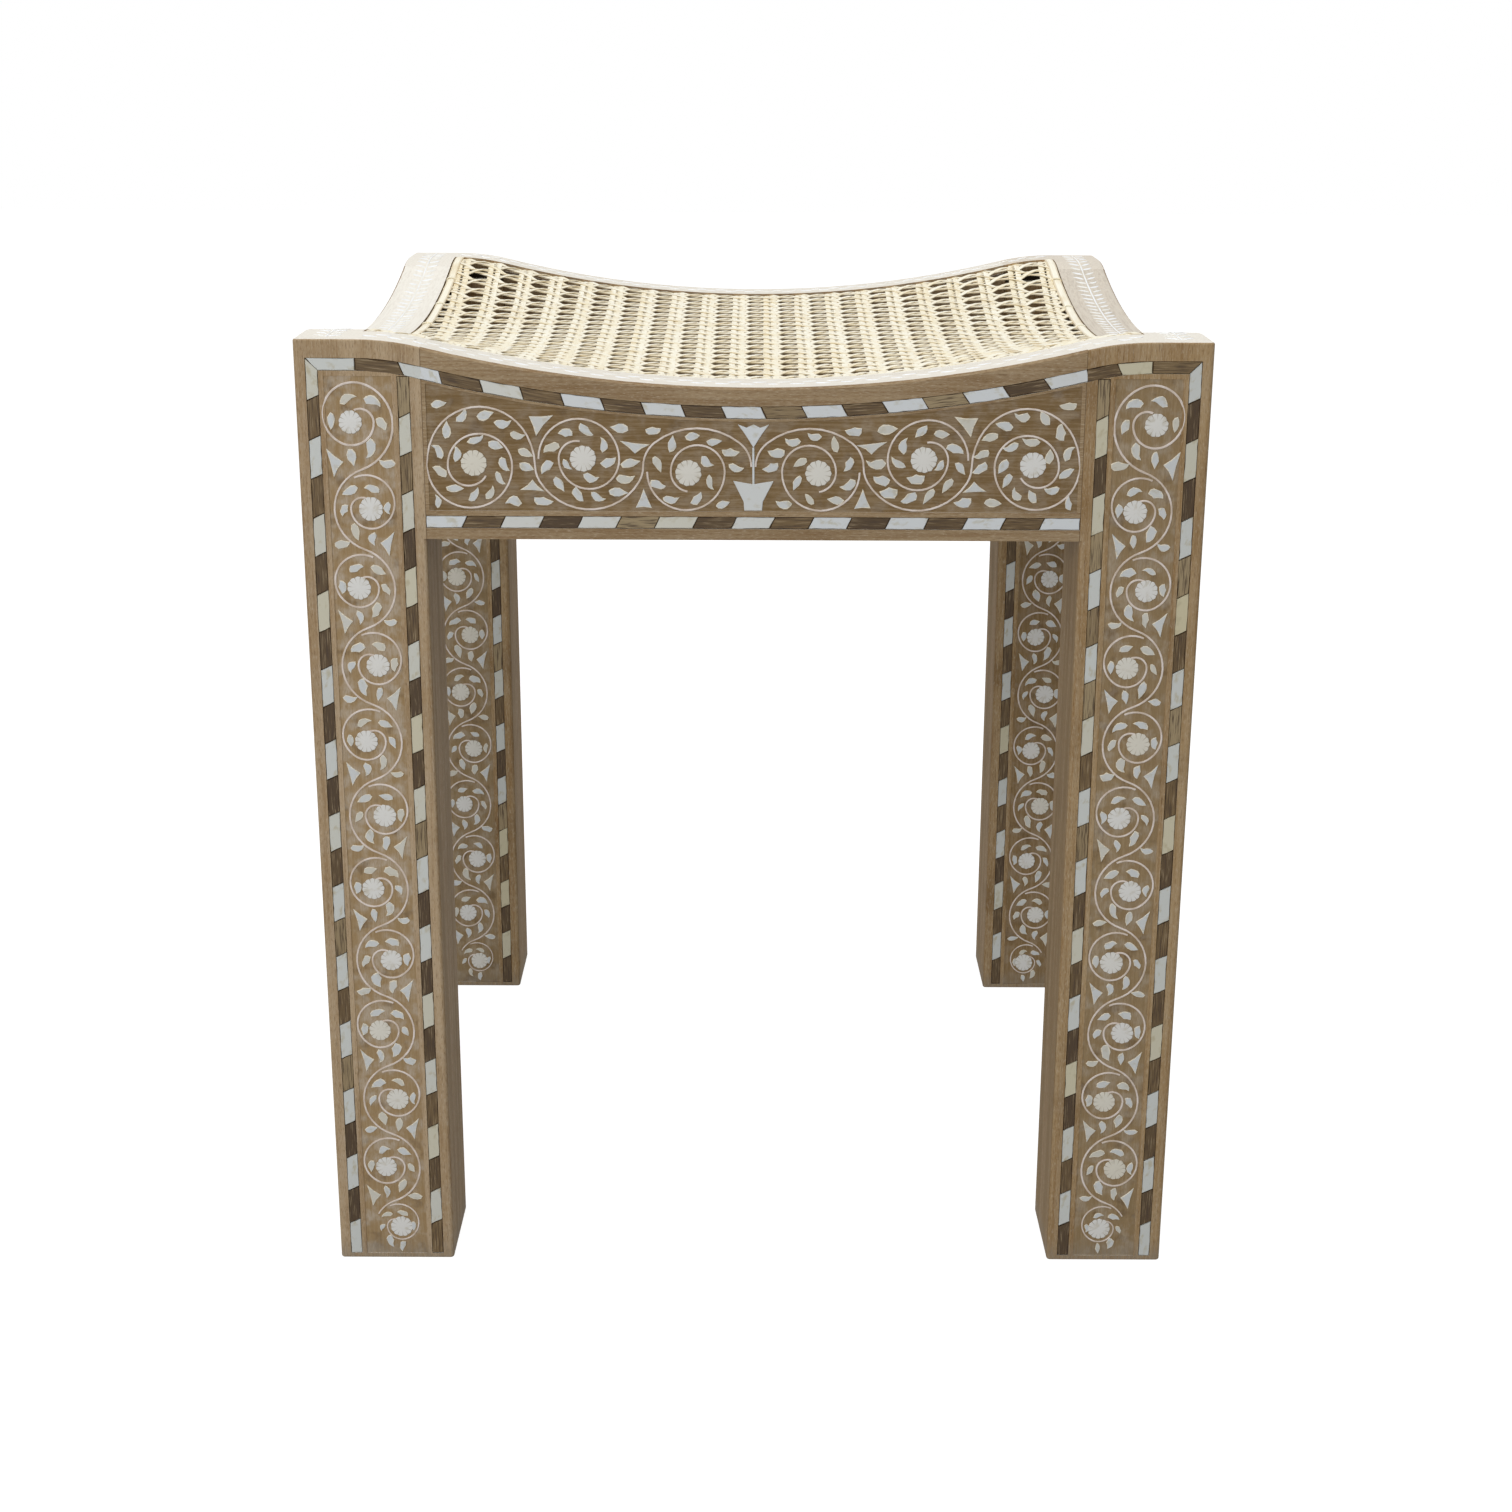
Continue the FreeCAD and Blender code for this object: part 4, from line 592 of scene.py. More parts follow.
def cut_once(outline, place, rough):
    """A bone piece with an outline of its own."""
    master = token("single", outline, FIELD_DEPTH)
    piece = stamp(master, place, rough)
    bpy.data.objects.remove(master)
    return piece


def rough_triangle(place, corners):
    """A small three-sided filling of bone, its sides cut hollow."""
    middle = Vector((sum(u for u, v in corners) / 3, sum(v for u, v in corners) / 3))
    outline = []
    for near, far in zip(corners, corners[1:] + corners[:1]):
        near, far = Vector(near) - middle, Vector(far) - middle
        outline += [near, (near + far) / 2 * TRIANGLE_WAIST]
    if (outline[2] - outline[0]).cross(outline[4] - outline[0]) < 0:
        outline.reverse()
    place = place @ on_face(middle.x, middle.y, lift=PROUD)
    return cut_once([tuple(point) for point in outline], place, rough=0.3 * MM)


def leg_scroll(place, width, low, high, side):
    """Wires, rosettes and leaves between two heights. Side is 1 where the top stem is on the right."""
    middle = width / 2
    count = round((high - low) / (LEG_PITCH_SHARE * (width - 2 * FIELD_INSET)))
    shares = [TOP_UNIT_SHARE] + [1.0] * (count - 2) + [LAST_UNIT_SHARE]
    wires, rosettes, leaves = [], [], []
    hand = -side
    top = high
    for number, share in enumerate(shares):
        pitch = (high - low) * share / sum(shares)
        scale = pitch / LEG_PITCH
        centre = top - pitch / 2
        last = number == count - 1
        unit = place @ on_face(middle, centre, 0, scale, hand, -WIRE_SINK)
        spiral, stem = ((LEG_TOP_SPIRAL, LEG_HALF_STEM) if number == 0 else
                        (LEG_SPIRAL, LEG_STEM_END) if last else (LEG_SPIRAL, LEG_STEM))
        wires += [stamp(spiral, unit), stamp(stem, unit)]
        along, above = ROSETTE_PLACE_SHARES
        flower = on_face(middle + hand * along * pitch, centre + above * pitch, random.uniform(0, 90),
                         random.uniform(*ROSETTE_SIZE_RANGE), 1, PROUD)
        rosettes.append(stamp(ROSETTE, place @ flower, rough=0.2 * MM))
        for along, above, angle, length in LEG_LEAF_SHARES:
            if last and above < LAST_LEAF_SHARE:
                continue
            leaves.append(rough_leaf(place, middle + hand * along * pitch, centre + above * pitch,
                                     angle if hand > 0 else 180 - angle, scale * length, hand))
        if not last:
            corners = [(middle + hand * u * pitch, centre + v * pitch) for u, v in LEG_TRIANGLE_SHARES]
            leaves.append(rough_triangle(place, corners))
        hand = -hand
        top -= pitch
    return wires, rosettes, leaves


def apron_scroll(place, half_length):
    """The six spirals of an apron with their leaves and rosettes."""
    pitch = 2 * (half_length - END_MARGIN) / APRON_UNITS
    scale = pitch / APRON_PITCH
    size = scale * APRON_ROSETTE_RADIUS / ROSETTE_RADIUS
    level = APRON_BOTTOM + FIELD_INSET + MIDDLE_LINE_SHARE * pitch
    wires, rosettes, leaves = [], [], []
    for side in (-1, 1):
        half = place @ on_face(0, level, 0, scale, -side, -WIRE_SINK)
        wires += [stamp(strand, half) for strand in APRON_STRANDS]
        for along, above in APRON_ROSETTE_SHARES:
            flower = on_face(side * along * pitch, level + above * pitch, random.uniform(0, 90),
                             size, 1, PROUD)
            rosettes.append(stamp(ROSETTE, place @ flower, rough=0.2 * MM))
        for along, above, angle, share in APRON_LEAF_SHARES:
            leaves.append(rough_leaf(place, side * along * pitch, level + above * pitch,
                                     180 - angle if side > 0 else angle, share * APRON_LEAF_SCALE, -side))
        for shares in APRON_TRIANGLE_SHARES:
            corners = [(side * u * pitch, level + v * pitch) for u, v in shares]
            leaves.append(rough_triangle(place, corners))
    return wires, rosettes, leaves


def tulip(place):
    """The flower on its stem above the vase, at the middle of an apron."""
    ground = APRON_BOTTOM + FIELD_INSET + WIRE_WIDTH / 2
    base = APRON_TOP - TOP_MARGIN - TILE_WIDTH - BAND_WIDTH - TULIP_HEIGHT
    notch = ground + VASE_HEIGHT * VASE_SHARES[5][1]
    half = WIRE_WIDTH / 2
    outlines = (
        [(x * TULIP_WIDTH, base + y * TULIP_HEIGHT) for x, y in TULIP_SHARES],
        [(x * VASE_WIDTH, ground + y * VASE_HEIGHT) for x, y in VASE_SHARES],
        [(-half, notch), (half, notch), (half, base), (-half, base)],
    )
    place = place @ on_face(0, 0, lift=PROUD)
    return [cut_once(outline, place, rough=0.15 * MM) for outline in outlines]


# The hollow of the seat frame and the cane's surface

def drop(place, straight, joint, crown, sag):
    """How far the rim lies below the leg tops."""
    place = abs(place)
    if place >= straight:
        return 0.0
    if place > joint:
        return crown - math.sqrt(crown ** 2 - (straight - place) ** 2)
    return sag - DISH_RADIUS + math.sqrt(DISH_RADIUS ** 2 - place ** 2)


def drop_x(x):
    return drop(x, OPEN_X, APRON_X, CROWN_X, SAG_X)


def drop_y(y):
    return drop(y, OPEN_Y, APRON_Y, CROWN_Y, SAG_Y)


def seat_level(x, y):
    """The cane's top: it follows all four rims and stays level along its middle lines."""
    share = drop_x(x) / SAG_X
    return HEIGHT - CANE_RECESS - drop_x(x) - drop_y(y) * (1 - share)


def on_rim(middle, along, side_wise):
    """The place of a flat piece on the rim's top, with its own x along the rim."""
    fall = drop_y if side_wise else drop_x
    slope = (fall(along - MM) - fall(along + MM)) / (2 * MM)
    right = Vector((0, 1, slope) if side_wise else (1, 0, slope)).normalized()
    up = Vector((-1, 0, 0) if side_wise else (0, 1, 0))
    x, y = (middle, along) if side_wise else (along, middle)
    return placed((x, y, HEIGHT - fall(along)), right, up, right.cross(up))


# Inlay of the four legs, the four aprons and the rims

def gather_inlay(part, tile_bone, bone, dark, wires, rosettes, leaves):
    """The five inlays that each leg and each apron has."""
    gather(part + "bone_tile_inlay", bone, tile_bone, [part + "bone_tiles"])
    gather(part + "dark_tile_inlay", dark, DARK_TILE, [part + "dark_tiles"])
    gather(part + "vine_inlay", wires, VINE, [part + "vines"], smooth=50)
    gather(part + "rosette_inlay", rosettes, ROSETTE_BONE, [part + "rosettes"])
    gather(part + "leaf_inlay", leaves, LEAF_BONE, [part + "leaves"])


def dress_leg(name, side_x, side_y):
    corner = Vector((side_x * HALF_WIDTH, side_y * HALF_DEPTH, 0))
    across = Vector((side_x * APRON_X, side_y * HALF_DEPTH, 0))
    behind = Vector((side_x * HALF_WIDTH, side_y * APRON_Y, 0))
    far = Vector((side_x * APRON_X, side_y * APRON_Y, 0))
    faces = (
        (corner, across, Vector((0, side_y, 0)), CROWN_X, True),
        (corner, behind, Vector((side_x, 0, 0)), CROWN_Y, True),
        (behind, far, Vector((0, -side_y, 0)), CROWN_X, False),
    )
    bone, dark, wires, rosettes, leaves = [], [], [], [], []
    for outer, inner, normal, crown, full in faces:
        span = (inner - outer).length
        outer_left = UP.cross(normal).dot(inner - outer) > 0
        place = facing(outer if outer_left else inner, normal)
        strip_top = field_top = inner_top = APRON_BOTTOM - BAND_WIDTH
        if full:
            reach = span - RIM_WIDTH - EDGE_MARGIN
            strip_top = HEIGHT - TOP_MARGIN
            inner_top = strip_top - TILE_WIDTH - crown + math.sqrt(crown ** 2 - reach ** 2)
            field_top = LEG_FIELD_TOP
        places = (EDGE_MARGIN, span - STRIP_INSET)
        outer_u, inner_u = places if outer_left else places[::-1]
        outer_run = upright_tiles(outer_u, FOOT_MARGIN, strip_top)
        inner_run = upright_tiles(inner_u, FOOT_MARGIN, inner_top)
        rim_bone, rim_dark = [], []
        if full:
            a, b, c, d = outer_run[-1]
            mitre = strip_top - TILE_WIDTH
            outer_run[-1] = (a, (b[0], mitre), c, d) if outer_left else (a, b, (c[0], mitre), d)
            rim_bone, rim_dark = leg_rim_tiles(span, crown, outer_left)
        bone += [set_tile(TILE, corners, place) for corners in outer_run[::2] + inner_run[1::2] + rim_bone]
        dark += [set_tile(TILE, corners, place) for corners in outer_run[1::2] + inner_run[::2] + rim_dark]
        drawn = leg_scroll(place, span, FOOT_MARGIN, field_top, 1 if outer_left else -1)
        for collected, pieces in zip((wires, rosettes, leaves), drawn):
            collected += pieces
    gather_inlay(name + "_leg_", LEG_BONE, bone, dark, wires, rosettes, leaves)


def dress_apron(name, normal, half_length, sag):
    side_wise = abs(normal.x) > abs(normal.y)
    place = facing(normal * (HALF_WIDTH if side_wise else HALF_DEPTH), normal)
    lower_strip = level_tiles(APRON_BOTTOM + EDGE_MARGIN, -half_length, half_length)
    bone, dark = [], []
    for run in (hollow_tiles(half_length, sag), lower_strip):
        bone += [set_tile(TILE, corners, place) for corners in run[::2]]
        dark += [set_tile(TILE, corners, place) for corners in run[1::2]]
    apron = name + "_apron_"
    gather_inlay(apron, BONE, bone, dark, *apron_scroll(place, half_length))
    gather(apron + "tulip_inlay", tulip(place), BONE, [apron + "tulip"])
    dress_rim(apron, side_wise, normal)


def dress_rim(apron, side_wise, normal):
    """White leaves on the rim: pairs about a line on the sides, two rows in front and behind.
    They lie in a flush ground of the rim's own wood, whose pale top is partly lime and partly painted
    highlight."""
    middle = normal.x * (HALF_WIDTH - RIM_WIDTH / 2) + normal.y * (HALF_DEPTH - RIM_WIDTH / 2)
    line = []
    for station in range(-RIM_STATIONS, RIM_STATIONS + 1):
        along = station / RIM_STATIONS * (APRON_Y if side_wise else APRON_X)
        level = HEIGHT - RIM_GROUND_DEPTH / 2 - (drop_y(along) if side_wise else drop_x(along))
        line.append(Vector((middle, along, level) if side_wise else (along, middle, level)))
    ground = lay(line, RIM_GROUND_WIDTH, RIM_GROUND_DEPTH)
    gather(apron + "rim_ground", [ground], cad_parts[apron[:-1]].data.materials[0])
    if side_wise:
        reach, pitch, lean = HALF_DEPTH - SIDE_RIM_END, RIM_PAIR_PITCH, RIM_PAIR_LEAN
        step_along, step_across = 0, RIM_LEAF_LENGTH * RIM_PAIR_OFFSET_SHARE
    else:
        reach, pitch, lean = HALF_WIDTH - RIM_WIDTH - FRONT_RIM_END, RIM_LEAF_PITCH, RIM_ROW_LEAN
        step_along, step_across = RIM_LEAF_PITCH / 4, RIM_ROW_OFFSET
    leaves = []
    count = round(2 * reach / pitch)
    for number in range(count):
        place = on_rim(middle, (number + 0.5 - count / 2) * pitch, side_wise)
        for side in (-1, 1):
            local = on_face(side * step_along, side * step_across, side * lean, lift=RIM_LEAF_LIFT)
            leaves.append(stamp(random.choice(RIM_LEAVES), place @ local, rough=0.3 * MM))
        if side_wise:
            leaves.append(stamp(RIM_DASH, place @ on_face(0, 0, lift=RIM_LEAF_LIFT), rough=0.1 * MM))
    gather(apron + "rim_leaf_inlay", leaves, RIM_BONE, [apron + "rim_inlay"])


# Cane weaving

def column_pitch(y):
    """The columns fan out a little towards the back."""
    share = (y + OPEN_Y) / (2 * OPEN_Y)
    return FRONT_COLUMN_PITCH + (BACK_COLUMN_PITCH - FRONT_COLUMN_PITCH) * share


def strand_blank(segments):
    """A straight strand of one unit's length: flat below, slightly crowned above."""
    deselect()
    bpy.ops.mesh.primitive_grid_add(x_subdivisions=segments, y_subdivisions=2, size=1,
                                    location=(0.5, 0, 0))
    blank = just_added("strand_blank_%d" % segments)
    thicken(blank, 1)
    edit(blank, "VERT", lambda vertex: abs(vertex.co.y) < 0.1 and vertex.co.z > -0.5)
    bpy.ops.transform.translate(value=(0, 0, STRAND_CROWN_SHARE))
    return close_edit(blank)


def lay(line, width, thickness=STRAND_THICKNESS):
    """Lays a strand along a line of points, and maps its length and width as its grain."""
    count = len(line) - 1
    if count not in BLANKS:
        BLANKS[count] = strand_blank(count)
    piece = stamp(BLANKS[count], Matrix.Identity(4))
    rails = []
    run = [0.0]
    for index, point in enumerate(line):
        ahead = line[min(index + 1, count)] - line[max(index - 1, 0)]
        side = UP.cross(ahead).normalized()
        rails.append((point, side, ahead.cross(side).normalized()))
        if index:
            run.append(run[-1] + (point - line[index - 1]).length)
    stations = [min(count, max(0, round(vertex.co.x * count))) for vertex in piece.data.vertices]
    layer = piece.data.uv_layers.new(name="grain")
    for loop in piece.data.loops:
        vertex = piece.data.vertices[loop.vertex_index]
        layer.data[loop.index].uv = (run[stations[loop.vertex_index]], vertex.co.y * width)
    swell = random.uniform(*SWELL_RANGE)
    for station, vertex in zip(stations, piece.data.vertices):
        point, side, up = rails[station]
        vertex.co = point + side * (vertex.co.y * width * swell) + up * ((vertex.co.z + 0.5) * thickness)
    return piece


def strand(points, width):
    """The strand through the points that lie inside the frame; near the frame it dips into its groove."""
    line = []
    for x, y, lift in points:
        if abs(x) <= OPEN_X - STRAND_CLEARANCE:
            edge = min(OPEN_X - abs(x), OPEN_Y - abs(y))
            dip = END_DIP * max(0.0, 1 - edge / END_DIP_LENGTH) ** 2
            line.append(Vector((x, y, seat_level(x, y) - CANE_MIDDLE + lift - dip)))
    return [lay(line, width)] if len(line) > 3 else []


def weave_wave(place, half_gap):
    """Under and over: -1 at one strand of the crossing pair, 1 at the other, 0 away from them."""
    offset = (place % 1.0) - 0.5
    if abs(offset) > 2 * half_gap:
        return 0.0
    return math.sin(math.pi * offset / (2 * half_gap))


def diagonal_wave(place):
    """High over the cross strands, low under the uprights."""
    return -math.tanh(WAVE_SHARPNESS * math.cos(2 * math.pi * place)) / math.tanh(WAVE_SHARPNESS)


def wander(seed, place):
    """A strand never lies quite straight."""
    return noise.noise(Vector((place * WANDER_PER_ROW, seed, 0))) * STRAND_WANDER


def pair_spread(row):
    return min(1.0, PAIR_END_SHARE + PAIR_OPENING * min(row, CANE_ROWS - row))


def strand_to_back(column_at, aside_at, lift_at, width):
    """A strand from front to back: its column, its offset from there and its height at each row."""
    seed = random.uniform(0, 90)
    points = []
    for station in range(CANE_ROWS * STATIONS_PER_CELL + 1):
        row = station / STATIONS_PER_CELL
        y = -OPEN_Y + row * ROW_PITCH
        x = column_at(row) * column_pitch(y) + aside_at(row) + wander(seed, row)
        points.append((x, y, lift_at(row)))
    return strand(points, width)


def weave_uprights():
    """Pairs of strands that close up where they enter the front and the back rail."""
    pieces = []
    half_gap = PAIR_OFFSET_Y / ROW_PITCH
    for column in range(-CANE_COLUMNS, CANE_COLUMNS):
        for side in (-1, 1):
            pieces += strand_to_back(
                lambda row: column + 0.5,
                lambda row: side * PAIR_OFFSET_X * pair_spread(row),
                lambda row: side * WEAVE_HEIGHT * weave_wave(row, half_gap), STRAND_WIDTH)
    return pieces


def weave_crossings():
    pieces = []
    for number in range(CANE_ROWS):
        for side in (-1, 1):
            seed = random.uniform(0, 90)
            y = -OPEN_Y + (number + 0.5) * ROW_PITCH + side * PAIR_OFFSET_Y
            pitch = column_pitch(y)
            half_gap = PAIR_OFFSET_X / pitch
            reach = math.ceil(OPEN_X / pitch) * STATIONS_PER_CELL
            points = []
            for station in range(-reach, reach + 1):
                place = station / STATIONS_PER_CELL
                lift = side * WEAVE_HEIGHT * weave_wave(place, half_gap)
                points.append((place * pitch, y + wander(seed, place), lift))
            pieces += strand(points, CROSSING_WIDTH)
    return pieces


def weave_diagonals():
    pieces = []
    for way in (-1, 1):
        for start in range(-CANE_COLUMNS - CANE_ROWS, CANE_COLUMNS + CANE_ROWS):
            pieces += strand_to_back(
                lambda row: start + 0.5 + way * row, lambda row: 0.0,
                lambda row: way * DIAGONAL_HEIGHT * diagonal_wave(row), DIAGONAL_WIDTH)
    return pieces


def weave_binders():
    """The flat strip along each side of the cane, and the ties that hold it down."""
    pieces = []
    middle = OPEN_X - BINDER_INSET - BINDER_WIDTH / 2
    for side in (-1, 1):
        line = []
        for station in range(BINDER_STATIONS + 1):
            y = (OPEN_Y - BINDER_END) * (2 * station / BINDER_STATIONS - 1)
            x = side * (middle + wander(side * 3, station / 6))
            line.append(Vector((x, y, seat_level(OPEN_X, y))))
        pieces.append(lay(line, BINDER_WIDTH, BINDER_THICKNESS))
        for number in range(1, CANE_ROWS, TIE_SPACING):
            y = -OPEN_Y + (number + 0.5) * ROW_PITCH + random.uniform(*TIE_SHIFT_MM) * MM
            level = seat_level(OPEN_X, y)
            tie = [Vector((side * (middle + across * BINDER_WIDTH / 2), y, level + lift_mm * MM))
                   for across, lift_mm in TIE_BENDS]
            pieces.append(lay(tie, TIE_WIDTH))
    return pieces


# Finishes

MATHS = "ShaderNodeMath"
NOISE = "ShaderNodeTexNoise"
RANGE = "ShaderNodeMapRange"
VECTOR_MATHS = "ShaderNodeVectorMath"


def hex_colour(text):
    """An sRGB hex value as the linear colour that the shaders take."""
    channels = [int(text[place:place + 2], 16) / 255 for place in (1, 3, 5)]
    linear = [c / 12.92 if c <= 0.04045 else ((c + 0.055) / 1.055) ** 2.4 for c in channels]
    return (*linear, 1.0)


def add(tree, kind, inputs=(), output=0, **settings):
    """Adds a node with its settings and links, and gives the output asked for.
    An input takes a value, a hex colour or another node's output."""
    made = tree.nodes.new(kind)
    for key, value in settings.items():
        setattr(made, key, value)
    for socket, value in dict(inputs).items():
        if isinstance(value, bpy.types.NodeSocket):
            tree.links.new(value, made.inputs[socket])
        else:
            made.inputs[socket].default_value = hex_colour(value) if isinstance(value, str) else value
    return made.outputs[output]


def coat(tree, under, over, *shares, fade="SMOOTHSTEP"):
    """Lays one colour over another by the product of the shares. A share is a value, or a value with its
    range: where that starts and ends, and the least and the most that it gives."""
    total = None
    for share in shares:
        if isinstance(share, tuple):
            share = add(tree, RANGE, dict(enumerate(share)), interpolation_type=fade)
        total = share if total is None else add(tree, MATHS, {0: total, 1: share}, operation="MULTIPLY")
    return add(tree, "ShaderNodeMix", {0: total, 6: under, 7: over}, 2, data_type="RGBA")


def finish_named(name, roughness, specular=0.5, ior=1.5):
    """A material with its shader; uniform values sit on the shader's own sockets."""
    material = bpy.data.materials.new(name)
    material.use_nodes = True
    tree = material.node_tree
    shader = tree.nodes["Principled BSDF"]
    shader.inputs["Roughness"].default_value = roughness
    shader.inputs["Specular IOR Level"].default_value = specular
    shader.inputs["IOR"].default_value = ior
    return material, tree, shader


def surface(tree, shader, colour, relief, strength, depth):
    """Gives the shader its colour and a fine relief."""
    inputs = {"Strength": strength, "Distance": depth, "Height": relief}
    tree.links.new(colour, shader.inputs["Base Color"])
    tree.links.new(add(tree, "ShaderNodeBump", inputs), shader.inputs["Normal"])


# The wood's noises: size across and along the grain in mm, detail, roughness
WOOD_TEXTURES = {
    "bands": (9, 190, 2.0, 0.55),
    "fine": (1.3, 42, 3.0, 0.6),
    "pores": (0.7, 9, 2.0, 0.55),
    "flecks": (0.55, 3.2, 2.0, 0.7),
    "dust": (7, 7, 5.0, 0.5),
    "smudges": (11, 11, 3.0, 0.5),
    "stains": (42, 42, 3.0, 0.5),
}


def limed_wood_with_painted_light(name, along, planed, ground, haze, lime_and_sheen, stained):
    """Planed hardwood, limed and lightly oiled: tan, its pores dark, its upward faces pale, partly by lime
    and partly as painted highlight and sheen of the light from above.
    The ground of the scrolls is wood paste, smudged in places. Haze is lime dust left about the inlay;
    where it is stronger on the left-hand parts it is also painted light from the left."""
    material, tree, shader = finish_named(name, 0.68, 0.16, 1.45)
    place = add(tree, "ShaderNodeTexCoord", output="Object")
    grain = {}
    for texture, (across_mm, length_mm, detail, rough) in WOOD_TEXTURES.items():
        scales = [1 / (across_mm * MM)] * 3
        scales[along] = 1 / (length_mm * MM)
        stretched = add(tree, VECTOR_MATHS, {0: place, 1: scales}, operation="MULTIPLY")
        inputs = {"Vector": stretched, "Scale": 1.0, "Detail": detail, "Roughness": rough}
        grain[texture] = add(tree, NOISE, inputs)
    colour = planed[0]
    for texture, starts, ends, most, paint in (
            ("bands", 0.36, 0.66, 1.0, planed[1]),
            ("fine", 0.38, 0.66, 0.38, "#b9a588"),
            ("fine", 0.50, 0.28, 0.38, "#86694a"),
            ("pores", 0.36, 0.26, 0.6, "#6b5236"),
            ("stains", 0.52, 0.72, stained, "#7a5f3c"),
            ("flecks", 0.54, 0.70, 0.5, "#c9baa2"),
            ("flecks", 0.46, 0.32, 0.5, "#6e5436")):
        colour = coat(tree, colour, paint, (grain[texture], starts, ends, 0.0, most))

    normal = add(tree, "ShaderNodeNewGeometry", output="Normal")
    x, y, z = add(tree, "ShaderNodeSeparateXYZ", {0: place}).node.outputs
    tilt_x, tilt_y, tilt_z = add(tree, "ShaderNodeSeparateXYZ", {0: normal}).node.outputs
    across, deep, lean_x, lean_y = (add(tree, MATHS, {0: value}, operation="ABSOLUTE")
                                    for value in (x, y, tilt_x, tilt_y))
    faces_x, faces_y = (add(tree, MATHS, {0: lean, 1: UPRIGHT_SHARE}, operation="GREATER_THAN")
                        for lean in (lean_x, lean_y))

    def plane(faces, reach, distance, margin):
        """The faces that lie at this distance from the middle, as 1."""
        near = add(tree, MATHS, {0: reach, 1: distance, 2: margin}, operation="COMPARE")
        return add(tree, MATHS, {0: faces, 1: near}, operation="MULTIPLY")

    def bed(depth):
        """The floors of the recesses that lie this deep, as 1."""
        floors = plane(faces_x, across, HALF_WIDTH - depth, BED_MARGIN)
        for distance in (HALF_DEPTH - depth, APRON_Y + depth):
            inputs = {0: floors, 1: plane(faces_y, deep, distance, BED_MARGIN)}
            floors = add(tree, MATHS, inputs, operation="MAXIMUM")
        return floors

    scroll_bed = bed(FIELD_DEPTH)
    paste = coat(tree, ground, colour, (grain["fine"], 0.40, 0.62, 0.0, 0.35))
    paste = coat(tree, paste, "#5f4a30", (grain["smudges"], 0.56, 0.70, 0.0, 0.55))
    colour = coat(tree, colour, paste, (scroll_bed, 0.0, 1.0, 0.0, 0.92))
    # Dust coat: lime dust on the scroll ground; its extra strength on the left-hand parts is painted light
    # from the left.
    dusty = (scroll_bed, 0.0, 1.0, haze * 0.2, haze)
    colour = coat(tree, colour, "#d0c9be", (grain["dust"], 0.42, 0.66, 0.1, 1.0),
                  (grain["flecks"], 0.3, 0.6, 0.5, 1.0), dusty)
    # Painted shade: the legs' inner sides, which face each other under the seat, are darkened to a deep
    # brown, banded with the grain.
    shaded_inner_sides = plane(faces_x, across, APRON_X, MM)
    colour = coat(tree, colour, "#735828", shaded_inner_sides, (grain["bands"], 0.34, 0.66, 0.05, 0.6))
    colour = coat(tree, colour, "#4a3722", (bed(TILE_DEPTH), 0.0, 1.0, 0.0, 0.9))

    # The ledge under the cane takes no lime, and its upward faces are painted dark: painted shade under the
    # cane.
    inside = [add(tree, MATHS, {0: reach, 1: edge - MM}, operation="LESS_THAN")
              for reach, edge in ((across, OPEN_X), (deep, OPEN_Y))]
    ledge = add(tree, MATHS, {0: inside[0], 1: inside[1]}, operation="MULTIPLY")
    # Painted highlight: upward faces are laid over with near white, partly lime and partly the highlight
    # and sheen of the light from above; the ledge under the cane is left out.
    colour = coat(tree, colour, "#f2eee4", (tilt_z, 0.74, 0.95),
                  (grain["fine"], 0.25, 0.62, lime_and_sheen - 0.14, lime_and_sheen), (ledge, 1.0, 0.0))
    colour = coat(tree, colour, "#33271a", ledge, (tilt_z, 0.5, 0.9, 0.0, 0.85))
    colour = coat(tree, colour, "#94897a", (z, 16 * MM, 2 * MM), (grain["pores"], 0.3, 0.7, 0.2, 0.7))

    # The frame's inner walls below the cane are in shadow, most of all near the corners.
    for faces, reach, edge, half, sag, along_wall in ((faces_y, deep, OPEN_Y, OPEN_X, SAG_X, across),
                                                      (faces_x, across, OPEN_X, OPEN_Y, SAG_Y, deep)):
        share = add(tree, MATHS, {0: along_wall, 1: half}, operation="DIVIDE")
        square = add(tree, MATHS, {0: share, 1: share}, operation="MULTIPLY")
        inputs = {0: square, 1: sag, 2: HEIGHT - sag - INNER_EDGE}
        level = add(tree, MATHS, inputs, operation="MULTIPLY_ADD")
        low = add(tree, MATHS, {0: z, 1: level}, operation="LESS_THAN")
        colour = coat(tree, colour, "#20170d", plane(faces, reach, edge, MM), low,
                      (share, 0.2, 0.85, 0.75, 0.97))
    above = add(tree, MATHS, {0: z, 1: APRON_BOTTOM}, operation="GREATER_THAN")
    for faces, reach, joint in ((faces_y, across, APRON_X), (faces_x, deep, APRON_Y)):
        line = plane(faces, reach, joint, JOINT_LINE / 2)
        colour = coat(tree, colour, "#5d4a33", above, (line, 0.0, 1.0, 0.0, 0.65))
    surface(tree, shader, colour, grain["fine"], 0.35, 0.25 * MM)
    return material


def mapped_grain(tree, length_mm, across_mm, detail=3.0):
    """Noise stretched along a piece's own length; each piece has its own stretch of it."""
    plan = add(tree, "ShaderNodeUVMap", uv_map="grain")
    tone = add(tree, "ShaderNodeAttribute", output="Fac", attribute_name="tone")
    scales = (1 / (length_mm * MM), 1 / (across_mm * MM), 1)
    stretched = add(tree, VECTOR_MATHS, {0: plan, 1: scales}, operation="MULTIPLY")
    offset = add(tree, VECTOR_MATHS, {0: tone, 1: (37, 53, 71)}, operation="MULTIPLY")
    moved = add(tree, VECTOR_MATHS, {0: stretched, 1: offset}, operation="ADD")
    return add(tree, NOISE, {"Vector": moved, "Scale": 1.0, "Detail": detail}), tone


